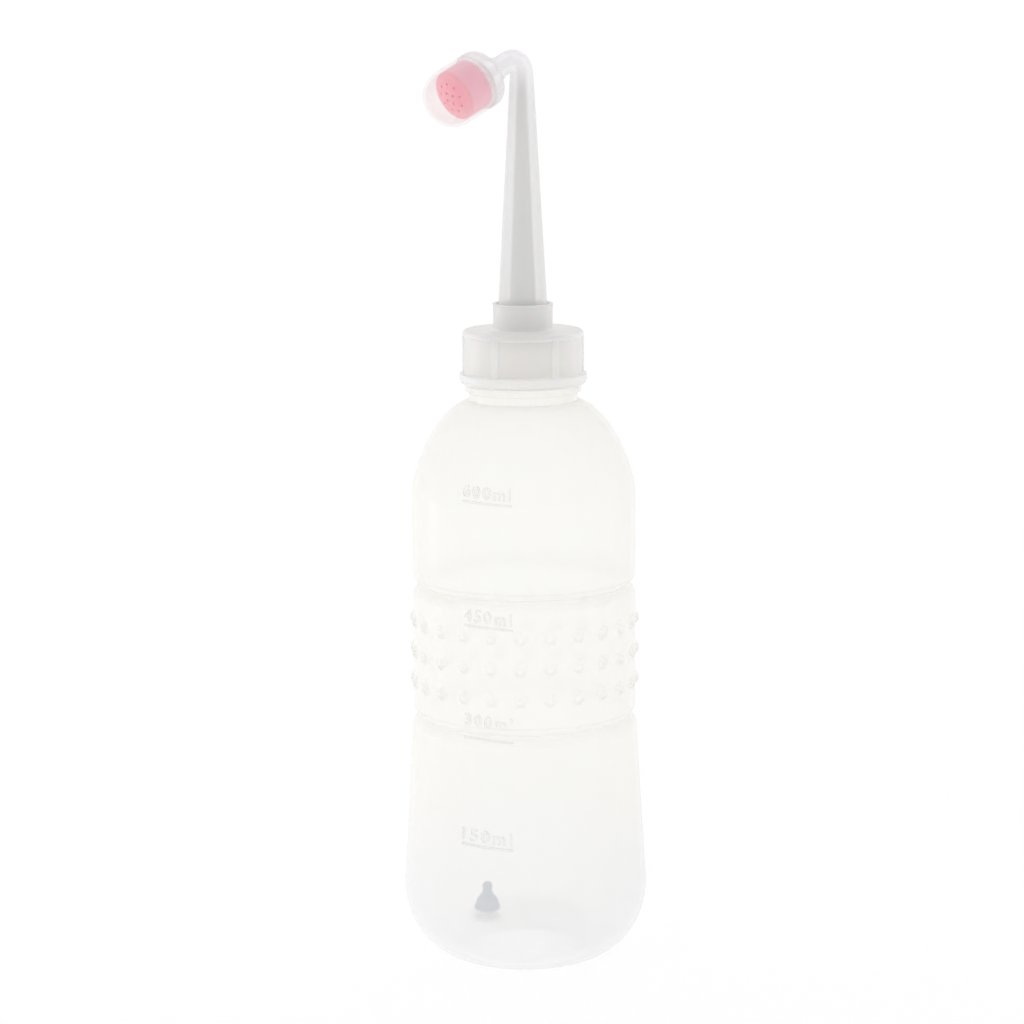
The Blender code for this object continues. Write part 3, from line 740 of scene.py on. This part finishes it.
def inset(outline, distance):
    """The outline moved inwards by a distance, for the inner face of a wall."""
    moved = []
    for i, (r, z) in enumerate(outline):
        before = Vector(outline[max(i - 1, 0)])
        after = Vector(outline[min(i + 1, len(outline) - 1)])
        along = (after - before).normalized()
        moved.append((r + along.y * distance, z - along.x * distance))
    return moved


def groove_shade_line(z):
    """The painted shade line of a height, strongest at the upper lip of a groove and 0 away from
    it.
    """
    near = min(abs(z - UPPER_GROOVE_Z - GROOVE_LIP), abs(z - LOWER_GROOVE_Z - GROOVE_LIP))
    return max(0.0, GROOVE_SHADE_STRENGTH * (1 - near / GROOVE_SHADE_WIDTH))


def from_nub(angle, z):
    """The distances across and up from the middle of the nearest grip nub."""
    pitch = 2 * math.pi / NUB_COUNT
    turned = (angle - world_angle(NUB_PHASE)) / pitch
    across = (turned - round(turned)) * pitch * BODY_R
    return across, min((z - row for row in NUB_ROWS_Z), key=abs)


def nub_underside(angle, z):
    """From 0 on the upper flank of a nub to 1 on its lower flank, where the painted shade goes."""
    across, up = from_nub(angle, z)
    return 0.5 - 0.5 * up / max(math.hypot(across, up), 0.1 * MM)


def nub_height(angle, z):
    """How far the grip nubs stand out of the wall at a place."""
    across, up = from_nub(angle, z)
    rise = min(1.0, max(0.0, 1.25 * (1 - math.hypot(across, up) / NUB_R)))
    return NUB_HEIGHT * rise * rise * (3 - 2 * rise)


def rim_at(bm, radius, z):
    """The edges of the open rim at a radius and height."""
    def on_rim(vert):
        return abs(vert.co.xy.length - radius) < 0.02 * MM and abs(vert.co.z - z) < 0.02 * MM

    return [e for e in bm.edges if e.is_boundary and all(on_rim(v) for v in e.verts)]


def bottle_shell():
    """The outline and its inner wall turned into one shell, with an open rim round the floor."""
    outline = bottle_outline()
    inner = [(r, max(z, WALL)) for r, z in reversed(inset(outline, WALL))]
    inner[0] = (FLOOR_R, FLOOR_Z + WALL)
    lip = soften([
        (NECK_BORE_R, SHOULDER_TOP_Z), (NECK_BORE_R, RIM_Z), (FINISH_R, RIM_Z),
        (FINISH_R, BEAD_TOP_Z), (BEAD_R, BEAD_TOP_Z), (BEAD_R, BEAD_BOTTOM_Z),
        (NECK_R, BEAD_BOTTOM_Z), (NECK_R, SHOULDER_TOP_Z + 0.8 * MM),
    ], LIP_EDGE_R)
    return spun(inner + lip + outline, BODY_SEGMENTS)


def in_band(vert):
    """Whether a vertex is on the wall of the band of grip nubs."""
    return BAND_LOW_Z < vert.co.z < BAND_HIGH_Z and vert.co.xy.length > BODY_R - 2 * WALL


def raise_nubs(bm):
    """Swells the wall of the band into grip nubs, and marks on the vertices the painted shade that
    the colour follows: on the nubs' lower flanks and along the groove lips.
    """
    level = [
        e for e in bm.edges
        if all(in_band(v) for v in e.verts)
        and abs(e.verts[0].co.z - e.verts[1].co.z) < 0.01 * MM
    ]
    bmesh.ops.subdivide_edges(bm, edges=level, cuts=1)
    painted_shade = bm.verts.layers.float.new("painted_shade")
    for vert in bm.verts:
        # Painted shade line along the upper lip of each groove
        vert[painted_shade] = groove_shade_line(vert.co.z)
        if in_band(vert):
            skin_r = BODY_R if vert.co.xy.length > BODY_R - WALL / 2 else BODY_R - WALL
            angle = math.atan2(vert.co.y, vert.co.x)
            stand = nub_height(angle, vert.co.z)
            r = skin_r + stand
            vert.co = (r * math.cos(angle), r * math.sin(angle), vert.co.z)
            # Painted shade on the lower flank of each nub
            share = stand / NUB_HEIGHT
            vert[painted_shade] = 4 * share * (1 - share) * nub_underside(angle, vert.co.z)


def level_ring(x, y, z):
    """The origin and axes of a level ring, for laying out a rim."""
    return (Vector((x, y, z)), Vector((1, 0, 0)), Vector((0, 1, 0)))


def close_floor(bm):
    """Closes both faces of the floor round the valve's hole, with a boss on the upper one."""
    centre = level_ring(0, 0, 0)
    upper = rim_at(bm, FLOOR_R, FLOOR_Z + WALL)
    lower = rim_at(bm, FLOOR_R, FLOOR_Z)
    boss = (
        (FLOOR_Z + WALL, BOSS_R + BOSS_EDGE), (FLOOR_Z + WALL + BOSS_EDGE, BOSS_R),
        (BOSS_TOP_Z - BOSS_EDGE, BOSS_R), (BOSS_TOP_Z, BOSS_R - BOSS_EDGE),
        (BOSS_TOP_Z, VALVE_HOLE_R),
    )
    at = centre
    for z, radius in boss:
        ring = level_ring(VALVE_AT.x, VALVE_AT.y, z)
        upper = extend(bm, upper, at, ring, radius)
        at = ring
    ring = level_ring(VALVE_AT.x, VALVE_AT.y, FLOOR_Z)
    lower = extend(bm, lower, centre, ring, VALVE_HOLE_R)
    bmesh.ops.bridge_loops(bm, edges=upper + lower)


def make_thread(name, body, profile, middle_z, finish):
    """A thread of the shared pitch, from a section of (radius, height) about its middle."""
    bm = bmesh.new()
    section = [(r, z + middle_z) for r, z in profile]
    swept(bm, section, 0.0, 2 * math.pi * THREAD_TURNS, THREAD_STEPS, PITCH * THREAD_TURNS)
    finished(bm, name, body, finish)


def make_bottle(skins, marks_finish, edge_shade_finish):
    """The blown bottle with its pushed-up floor, valve boss, grip nubs, thread and graduations."""
    bm = bottle_shell()
    raise_nubs(bm)
    close_floor(bm)
    shell = finished(bm, "bottle_shell", "bottle", skins[0])
    line_inside(shell, skins[1], UP, Vector((0.0, 0.0, BELLY_Z)), STAND_INNER_R + 0.05 * MM)
    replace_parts(shell, "bottle")

    make_thread("neck_thread", "bottle", [
        (FINISH_R - THREAD_SINK, -THREAD_HALF_ROOT),
        (THREAD_CREST_R - THREAD_EDGE, -THREAD_HALF_CREST),
        (THREAD_CREST_R, -THREAD_HALF_CREST / 2), (THREAD_CREST_R, THREAD_HALF_CREST / 2),
        (THREAD_CREST_R - THREAD_EDGE, THREAD_HALF_CREST),
        (FINISH_R - THREAD_SINK, THREAD_HALF_ROOT),
    ], THREAD_START_Z, skins[0])

    for label, z, lift in MARKS:
        make_mark(label, z, lift, marks_finish, edge_shade_finish)


def line_inside(piece, inner_finish, axis, floor, core_r):
    """Gives a hollow round piece's inner skin, and its floor below a point, their own finish."""
    piece.data.materials.append(inner_finish)
    for face in piece.data.polygons:
        from_floor = face.center - floor
        along = from_floor.dot(axis)
        outward = from_floor - axis * along
        in_floor = along < 0 and (face.normal.dot(axis) > 0.5 or outward.length < core_r)
        faces_in = face.normal.dot(outward.normalized()) < -0.05
        face.material_index = 1 if faces_in or in_floor else 0


def line_edges(piece, edge_shade_finish):
    """Gives the narrow sides of a raised mark their own, more opaque finish, which paints shade
    along them.
    """
    piece.data.materials.append(edge_shade_finish)
    for face in piece.data.polygons:
        out = Vector((face.center.x, face.center.y, 0.0)).normalized()
        face.material_index = 0 if abs(face.normal.dot(out)) > 0.85 else 1


def make_mark(label, z, lift, finish, edge_shade_finish):
    """A raised bar with its numeral, wrapped onto the wall and leaning down to the right."""
    start = world_angle(MARK_AZIMUTH)
    bm = bmesh.new()
    half = BAR_WIDTH / 2
    r = min(body_r(z - MARK_DROP), body_r(z))
    proud = body_r(z) + MARK_PROUD
    section = [
        (r - BAR_SINK, z - half), (proud - BAR_EDGE, z - half), (proud, z - half + BAR_EDGE),
        (proud, z + half - BAR_EDGE), (proud - BAR_EDGE, z + half), (r - BAR_SINK, z + half),
    ]
    swept(bm, section, start, MARK_SWEEP, BAR_STEPS, -MARK_DROP)
    line_edges(finished(bm, "bar_" + label, "bottle", finish), edge_shade_finish)

    bm = flat_numeral(label)
    left = min(v.co.x for v in bm.verts)
    wide = max(v.co.x for v in bm.verts) - left
    tall = max(v.co.y for v in bm.verts) - min(v.co.y for v in bm.verts)
    thick = max(v.co.z for v in bm.verts)
    sweep = MARK_SWEEP * NUMERAL_SHARE
    for vert in bm.verts:
        along = (vert.co.x - left) / wide
        angle = start + sweep * (NUMERAL_INDENT + along)
        height = z - MARK_DROP * along + lift + vert.co.y / tall * NUMERAL_HEIGHT
        out = grooved_r(height) + (vert.co.z / thick) * MARK_PROUD
        vert.co = (out * math.cos(angle), out * math.sin(angle), height)
    numeral = finished(
        bm, "numeral_" + label, "bottle", finish, NUMERAL_CREASE
    )
    line_edges(numeral, edge_shade_finish)


def flat_numeral(label):
    """The solid letters of a label, as they come from the built-in font."""
    words = bpy.data.curves.new("numeral_" + label, "FONT")
    words.body = label
    words.extrude = 0.25
    words.bevel_depth = 0.02
    words.bevel_resolution = 1
    words.resolution_u = 4
    words.space_character = 1.3
    holder = bpy.data.objects.new("numeral_holder", words)
    bpy.context.scene.collection.objects.link(holder)
    graph = bpy.context.evaluated_depsgraph_get()
    flat = bpy.data.meshes.new_from_object(holder.evaluated_get(graph))
    bpy.data.objects.remove(holder, do_unlink=True)
    bm = bmesh.new()
    bm.from_mesh(flat)
    bmesh.ops.remove_doubles(bm, verts=bm.verts, dist=0.0005)
    return bm


def grooved_r(z):
    """The outside radius of the body at a height, grooves included."""
    grooves = ((UPPER_GROOVE_Z, UPPER_GROOVE_DEPTH), (LOWER_GROOVE_Z, LOWER_GROOVE_DEPTH))
    for middle, depth in grooves:
        across = (z - middle) / GROOVE_HALF
        if abs(across) < 1:
            return body_r(z) - depth * (0.5 + 0.5 * math.cos(math.pi * across))
    return body_r(z)


def make_cap(finish):
    """The screw cap: ribbed skirt, flange with its ridge, ceiling pocket and collar."""
    outer = [
        (COLLAR_BORE_R, COLLAR_TOP_Z), (COLLAR_R + COLLAR_LIP, COLLAR_TOP_Z),
        (COLLAR_R + COLLAR_LIP, COLLAR_TOP_Z - 0.5 * MM), (COLLAR_R, COLLAR_TOP_Z - 0.7 * MM),
        (COLLAR_R, CAP_TOP_Z + 0.4 * MM), (COLLAR_R + 0.4 * MM, CAP_TOP_Z),
    ]
    outer += arc((CAP_R - CAP_EDGE_R, CAP_TOP_Z - CAP_EDGE_R), CAP_EDGE_R, 90, 0, 8)
    panel_low = FLANGE_TOP_Z + 0.3 * MM
    panel_high = PANEL_TOP_Z - 0.4 * MM
    outer += [(CAP_R, PANEL_TOP_Z), (CAP_PANEL_R, panel_high), (CAP_PANEL_R, panel_low)]
    outer += [
        (CAP_R, FLANGE_TOP_Z), (FLANGE_R, FLANGE_TOP_Z), (FLANGE_R, CAP_BOTTOM_Z + 1.2 * MM),
        (FLANGE_R - 0.35 * MM, CAP_BOTTOM_Z + 0.9 * MM), (FLANGE_R - 0.35 * MM, CAP_BOTTOM_Z),
        (CAP_INNER_R, CAP_BOTTOM_Z), (CAP_INNER_R, CAP_CEILING_Z), (POCKET_R, CAP_CEILING_Z),
        (POCKET_R, POCKET_Z), (COLLAR_BORE_R, POCKET_Z),
    ]
    bm = spun(soften(outer, 0.25 * MM, closed=True), CAP_SEGMENTS, closed=True)
    half = RIB_WIDTH / 2 / CAP_R
    pitch = 2 * math.pi / RIB_COUNT
    for vert in bm.verts:
        r = vert.co.xy.length
        if not (FLANGE_TOP_Z < vert.co.z < PANEL_TOP_Z and CAP_PANEL_R - 0.1 * MM < r < CAP_R):
            continue
        angle = math.atan2(vert.co.y, vert.co.x)
        turned = (angle - world_angle(RIB_AZIMUTH)) / pitch
        off = abs(turned - round(turned)) * pitch
        rise = min(1.0, max(0.0, (half * RIB_FOOT - off) / (half * RIB_FLANK)))
        r += (CAP_R - r) * rise
        vert.co = (r * math.cos(angle), r * math.sin(angle), vert.co.z)
    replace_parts(finished(bm, "screw_cap", "cap", finish), "cap")

    make_thread("cap_thread", "cap", [
        (CAP_INNER_R + THREAD_SINK, THREAD_HALF_ROOT), (CAP_THREAD_CREST_R, THREAD_HALF_CREST),
        (CAP_THREAD_CREST_R, -THREAD_HALF_CREST), (CAP_INNER_R + THREAD_SINK, -THREAD_HALF_ROOT),
    ], THREAD_START_Z - CAP_THREAD_DROP, finish)


def make_seals(finish):
    """The flat gasket under the cap's ceiling and the O-ring of the nozzle."""
    outer_r = gasket_high.x
    flat = [
        (GASKET_INNER_R, gasket_high.z), (outer_r, gasket_high.z),
        (outer_r, gasket_low.z), (GASKET_INNER_R, gasket_low.z),
    ]
    bm = spun(soften(flat, 0.3 * MM, closed=True), GASKET_SEGMENTS, closed=True)
    gasket = finished(bm, "gasket_ring", "gasket", finish)
    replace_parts(gasket, "cap_gasket")
    cord = arc((SEAL_R, sum(SEAL_GROOVE_Z) / 2), SEAL_CORD_R, 0, 345, 23)
    bm = spun(cord, SEAL_SEGMENTS, closed=True)
    seal = finished(bm, "o_ring", "nozzle", finish, SEAL_CREASE)
    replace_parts(seal, "nozzle_seal")


def knee_stations(radius_in, radius_out, count):
    """Stations round the bend, from the top of the straight tube to the start of the arm."""
    turned = math.pi / 2 + ARM_DIP
    reach = BEND_R * math.tan(turned / 2)
    pivot = KNEE - UP * reach + ARM_LEVEL * BEND_R
    stations = []
    for i in range(count + 1):
        a = turned * i / count
        out = UP * math.sin(a) - ARM_LEVEL * math.cos(a)
        along = UP * math.cos(a) + ARM_LEVEL * math.sin(a)
        radius = radius_in + (radius_out - radius_in) * i / count
        stations.append((pivot + out * BEND_R, along, radius))
    return stations


def make_nozzle(finish, bore_shade_finish):
    """The bent nozzle: flanged shank, tapered tube, knee, arm and bell, with its bore."""
    shank = [
        (NOZZLE_FLANGE_R, CAP_CEILING_Z), (NOZZLE_FLANGE_R, NOZZLE_FLANGE_TOP_Z),
        (SHANK_R, NOZZLE_FLANGE_TOP_Z), (SHANK_R, SEAL_GROOVE_Z[0]),
        (SEAL_GROOVE_R, SEAL_GROOVE_Z[0]), (SEAL_GROOVE_R, SEAL_GROOVE_Z[1]),
        (SHANK_R, SEAL_GROOVE_Z[1]), (SHANK_R, COLLAR_TOP_Z - 0.6 * MM),
    ]
    upright = soften(shank + list(TUBE_STATIONS), NOZZLE_EDGE_R)
    bell = [
        (ARM_R, BELL_START - 0.8 * MM), (ARM_R + 0.3 * MM, BELL_START),
        (BELL_NECK_R, BELL_START + 1.8 * MM),
        (BELL_NECK_R, BELL_FILLET_AT - BELL_FILLET - 0.4 * MM),
    ]
    bell += arc((BELL_R - BELL_FILLET, BELL_FILLET_AT), BELL_FILLET, -90, 0, 14)
    bell += [
        (BELL_R, BELL_FACE), (STEP_R, BELL_FACE), (STEP_R, STEP_END), (SPIGOT_R, STEP_END),
        (SPIGOT_R, SPIGOT_END), (CAVITY_R, SPIGOT_END), (CAVITY_R, CAVITY_START),
        (BORE_TOP_R, CAVITY_START),
    ]
    stations = [(UP * z, UP, r) for r, z in upright]
    stations += knee_stations(TUBE_TOP_R, ARM_R, KNEE_STEPS)
    stations += [(KNEE + ARM * d, ARM, r) for r, d in soften(bell, NOZZLE_EDGE_R)]
    bore_from = len(stations)
    stations += list(reversed(knee_stations(BORE_TOP_R, BORE_TOP_R, BORE_KNEE_STEPS)))
    stations += [(UP * BORE_TOP_Z, UP, BORE_TOP_R), (UP * CAP_CEILING_Z, UP, BORE_BASE_R)]
    skin = lofted(stations, NOZZLE_SEGMENTS, bore_from)
    nozzle = finished(skin, "bent_nozzle", "nozzle", finish)
    nozzle.data.materials.append(bore_shade_finish)
    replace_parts(nozzle, "nozzle")


def head_profile():
    """The outline of the perforated cup: its domed crown, rounded edge, wall and inside."""
    rise = HEAD_TIP - HEAD_RIM
    flat_r = HEAD_R - HEAD_EDGE_R
    dome_r = (flat_r**2 + rise**2) / (2 * rise)
    half_turn = math.asin(flat_r / dome_r)
    crown = []
    for i in range(CROWN_STEPS + 1):
        a = half_turn * i / CROWN_STEPS
        crown.append((dome_r * math.sin(a), HEAD_TIP - dome_r + dome_r * math.cos(a)))
    lean = 90 - math.degrees(half_turn)
    drop = HEAD_EDGE_R * math.sin(math.radians(lean))
    edge = arc((flat_r, HEAD_RIM - drop), HEAD_EDGE_R, lean, 0, 8)
    wall_r = HEAD_R - HEAD_WALL
    outside = crown + edge[1:] + [(HEAD_R, HEAD_START + 0.2 * MM), (HEAD_R - 0.2 * MM, HEAD_START)]
    inside = [
        (wall_r, HEAD_START), (wall_r, HEAD_RIM - drop),
        (wall_r - 0.6 * MM, HEAD_RIM - HEAD_WALL), (0.0, HEAD_TIP - HEAD_WALL),
    ]
    return outside + inside


def hole_cutter():
    """One pin for each spray hole, to be cut from the crown."""
    holes = bmesh.new()
    for count, ring_r, phase in HOLE_RINGS:
        for i in range(count):
            a = phase + 2 * math.pi * i / count
            at = Matrix.Translation((ring_r * math.cos(a), ring_r * math.sin(a), HEAD_RIM))
            bmesh.ops.create_cone(
                holes, cap_ends=True, segments=20, radius1=HOLE_R, radius2=HOLE_R,
                depth=5 * HEAD_WALL, matrix=at,
            )
    mesh = bpy.data.meshes.new("spray_holes")
    holes.to_mesh(mesh)
    holes.free()
    cutter = bpy.data.objects.new("spray_holes", mesh)
    bpy.context.scene.collection.objects.link(cutter)
    return cutter


def make_spray_head(finish, hole_shade_finish):
    """The perforated cup that fits over the bell's spigot."""
    bm = spun(head_profile(), NOZZLE_SEGMENTS)
    head = finished(bm, "spray_rose", "spray_head", finish)
    cutter = hole_cutter()
    cut = head.modifiers.new("holes", "BOOLEAN")
    cut.operation = "DIFFERENCE"
    cut.solver = "EXACT"
    cut.object = cutter
    graph = bpy.context.evaluated_depsgraph_get()
    drilled = bpy.data.meshes.new_from_object(head.evaluated_get(graph))
    head.modifiers.clear()
    bpy.data.objects.remove(cutter, do_unlink=True)
    drilled.transform(HEAD_PLACE)
    drilled.name = "spray_rose"
    head.data = drilled
    drilled.set_sharp_from_angle(angle=math.radians(CREASE))
    # The walls of the spray holes take the deeper pink: painted shade in the holes
    drilled.materials.append(hole_shade_finish)
    to_head = HEAD_PLACE.inverted()
    for face in drilled.polygons:
        middle = to_head @ face.center
        in_crown = middle.z > HEAD_RIM - HEAD_WALL and middle.xy.length < STEP_R - HEAD_EDGE_R
        face.material_index = 1 if in_crown and abs(face.normal.dot(ARM)) < 0.3 else 0
    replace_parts(head, "spray_head")


def make_dust_cap(finish):
    """The domed clear cover that pushes over the spray head."""
    centre = (0.0, DUST_CAP_DOME)
    inner_r = DUST_CAP_R - DUST_CAP_WALL
    outside = [(0.0, DUST_CAP_DOME + DUST_CAP_R)] + arc(centre, DUST_CAP_R, 86, 0, 22)
    rim = soften([
        (DUST_CAP_R, DUST_CAP_DOME - DUST_CAP_LIP), (DUST_CAP_R, DUST_CAP_START),
        (inner_r, DUST_CAP_START), (inner_r, DUST_CAP_DOME - DUST_CAP_LIP),
    ], 0.3 * MM)
    inside = arc(centre, inner_r, 0, 86, 22) + [(0.0, DUST_CAP_DOME + inner_r)]
    bm = spun(outside + rim + inside, 112)
    bmesh.ops.transform(bm, matrix=HEAD_PLACE, verts=bm.verts)
    piece = finished(bm, "dust_cover", "dust_cap", finish)
    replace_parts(piece, "dust_cap")


def make_valve(plug_finish, bill_finish):
    """The air inlet in the floor: a flanged tube, and the duckbill that fits over it."""
    plug = [
        (PLUG_BORE_R, plug_high.z), (PLUG_R, plug_high.z), (PLUG_R, PLUG_FLANGE_Z),
        (PLUG_FLANGE_R, PLUG_FLANGE_Z), (PLUG_FLANGE_R, plug_low.z + 0.4 * MM),
        (PLUG_FLANGE_R - 0.4 * MM, plug_low.z), (PLUG_BORE_R, plug_low.z),
    ]
    bm = spun(soften(plug, 0.2 * MM, closed=True), VALVE_SEGMENTS, closed=True)
    bmesh.ops.translate(bm, verts=bm.verts, vec=VALVE_AT)
    inlet = finished(bm, "air_inlet", "bottle", plug_finish)
    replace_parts(inlet, "valve_plug")

    tip_z = bill_high.z - BILL_TIP_R
    base_z = bill_low.z
    tip = [(0.0, bill_high.z)] + arc((0.0, tip_z), BILL_TIP_R, 84, -40, 12)
    skirt = soften([
        (1.7 * MM, base_z + 5.4 * MM), (3.4 * MM, base_z + 3.2 * MM), (3.8 * MM, base_z + 1.4 * MM),
        (BILL_FOOT_R, base_z + 1.1 * MM), (BILL_FOOT_R, base_z), (BILL_BORE_R, base_z),
    ], 0.25 * MM)
    inside = [(2.9, 2.7), (2.2, 3.4), (0.8, 5.8), (0.0, 6.6)]
    inside = [(r * MM, base_z + z * MM) for r, z in inside]
    bm = spun(tip + skirt + inside, VALVE_SEGMENTS)
    for vert in bm.verts:
        if vert.co.z > tip_z and abs(vert.co.y) < BILL_SLIT_HALF:
            vert.co.z -= BILL_SLIT_DEPTH
    bmesh.ops.translate(bm, verts=bm.verts, vec=VALVE_AT)
    bill = finished(bm, "duckbill", "bottle", bill_finish)
    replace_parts(bill, "valve_duckbill")


# ---------------------------------------------------------------- studio

FLOOR_DISC_R = 60.0
FLOOR_GLOW = 0.71
CAMERA_AIM = Vector((-0.0038, 0.0, 0.1457))
CAMERA_DISTANCE = 0.989
CAMERA_PITCH = math.radians(10.05)
CAMERA_ROLL = math.radians(-0.33)
SENSOR_MM = 36.0
LENS_MM = 108.4


def make_floor():
    """A plain pale floor that glows softly from below, like a light table."""
    bm = bmesh.new()
    bmesh.ops.create_circle(bm, cap_ends=True, segments=64, radius=FLOOR_DISC_R)
    mesh = bpy.data.meshes.new("floor")
    bm.to_mesh(mesh)
    bm.free()
    finish = new_finish("pale_floor")
    place = finish.place()
    cloud = finish.noise(place, 3.0, 2.0)
    mesh.materials.append(shade(finish, {
        "Base Color": finish.mix(cloud, rgb(0.32, 0.32, 0.32), rgb(0.30, 0.30, 0.30)),
        "Roughness": 0.9, "Specular IOR Level": 0.1,
        "Emission Color": rgb(1.0, 1.0, 1.0), "Emission Strength": FLOOR_GLOW,
    }))
    floor = bpy.data.objects.new("floor", mesh)
    bpy.context.scene.collection.objects.link(floor)


def make_world():
    """Soft studio light: bright behind and at the sides, a little dimmer in front and overhead."""
    world = bpy.data.worlds.new("studio")
    bpy.context.scene.world = world
    finish = Finish(world)
    way = finish.node("ShaderNodeTexCoord", output="Generated")
    axes = finish.node("ShaderNodeSeparateXYZ", {}, {"Vector": way})
    behind = axes.output("Y").step(-0.75, 0.65)
    overhead = axes.output("Z").step(0.25, 1.0)
    level = (0.93 + behind * 0.13) * (1 - overhead * 0.18)
    colour = finish.mix(level, rgb(0.0, 0.0, 0.0), rgb(1.0, 1.0, 1.0))
    finish.feed(finish.tree.nodes["Background"], {"Color": colour, "Strength": 1.0})


def add_softbox(name, place, target, size, energy):
    """A rectangular soft light."""
    light = bpy.data.lights.new(name, "AREA")
    light.shape = "RECTANGLE"
    light.size, light.size_y = size
    light.energy = energy
    obj = bpy.data.objects.new(name, light)
    obj.location = place
    obj.rotation_mode = "QUATERNION"
    obj.rotation_quaternion = (Vector(target) - Vector(place)).to_track_quat("-Z", "Y")
    bpy.context.scene.collection.objects.link(obj)


def make_camera():
    """A long lens, level with the shoulder and looking slightly down."""
    camera = bpy.data.cameras.new("camera")
    camera.sensor_width = SENSOR_MM
    camera.lens = LENS_MM
    camera.clip_start = 0.05
    camera.clip_end = 200.0
    obj = bpy.data.objects.new("camera", camera)
    back = Vector((0.0, -math.cos(CAMERA_PITCH), math.sin(CAMERA_PITCH)))
    obj.location = CAMERA_AIM + back * CAMERA_DISTANCE
    obj.rotation_mode = "QUATERNION"
    roll = Matrix.Rotation(CAMERA_ROLL, 3, "Z").to_quaternion()
    obj.rotation_quaternion = (-back).to_track_quat("-Z", "Y") @ roll
    bpy.context.scene.collection.objects.link(obj)
    bpy.context.scene.camera = obj


skins = (
    frosted_polyethylene("frosted_polyethylene", OUTER_HAZE),
    frosted_polyethylene("inner_skin", INNER_HAZE),
)
polypropylene = natural_polypropylene()
make_bottle(
    skins, raised_marks("raised_marks", MARK_FACE_HAZE), raised_marks("mark_edge_shade", MARK_EDGE_HAZE)
)
make_cap(cap_polypropylene())
make_seals(silicone("white_silicone", rgb(0.86, 0.86, 0.84), rgb(0.78, 0.78, 0.77)))
make_nozzle(polypropylene, nozzle_bore_shade())
make_spray_head(
    pink_plastic("pink_plastic", rgb(1.0, 0.33, 0.43), rgb(1.0, 0.29, 0.39), HEAD_HAZE),
    # Deeper pink painted as shade on the walls of the spray holes
    pink_plastic("pink_plastic_hole_shade", rgb(1.0, 0.20, 0.33), rgb(0.97, 0.17, 0.30), HOLE_HAZE),
)
make_dust_cap(clear_polypropylene())
make_valve(polypropylene, silicone("grey_silicone", rgb(0.48, 0.52, 0.58), rgb(0.38, 0.42, 0.49)))
make_floor()
make_world()
add_softbox("left_softbox", (-0.9, -0.9, 0.55), (0.0, 0.0, 0.14), (0.25, 0.7), 0.7)
add_softbox("strip_light", (-0.77, 0.20, 0.02), (0.0, 0.0, 0.13), (0.05, 0.10), 0.25)
make_camera()
bpy.context.scene.view_settings.view_transform = "Standard"
bpy.context.scene.cycles.transparent_max_bounces = 24
bpy.context.scene.cycles.diffuse_bounces = 12
bpy.context.scene.cycles.max_bounces = 16
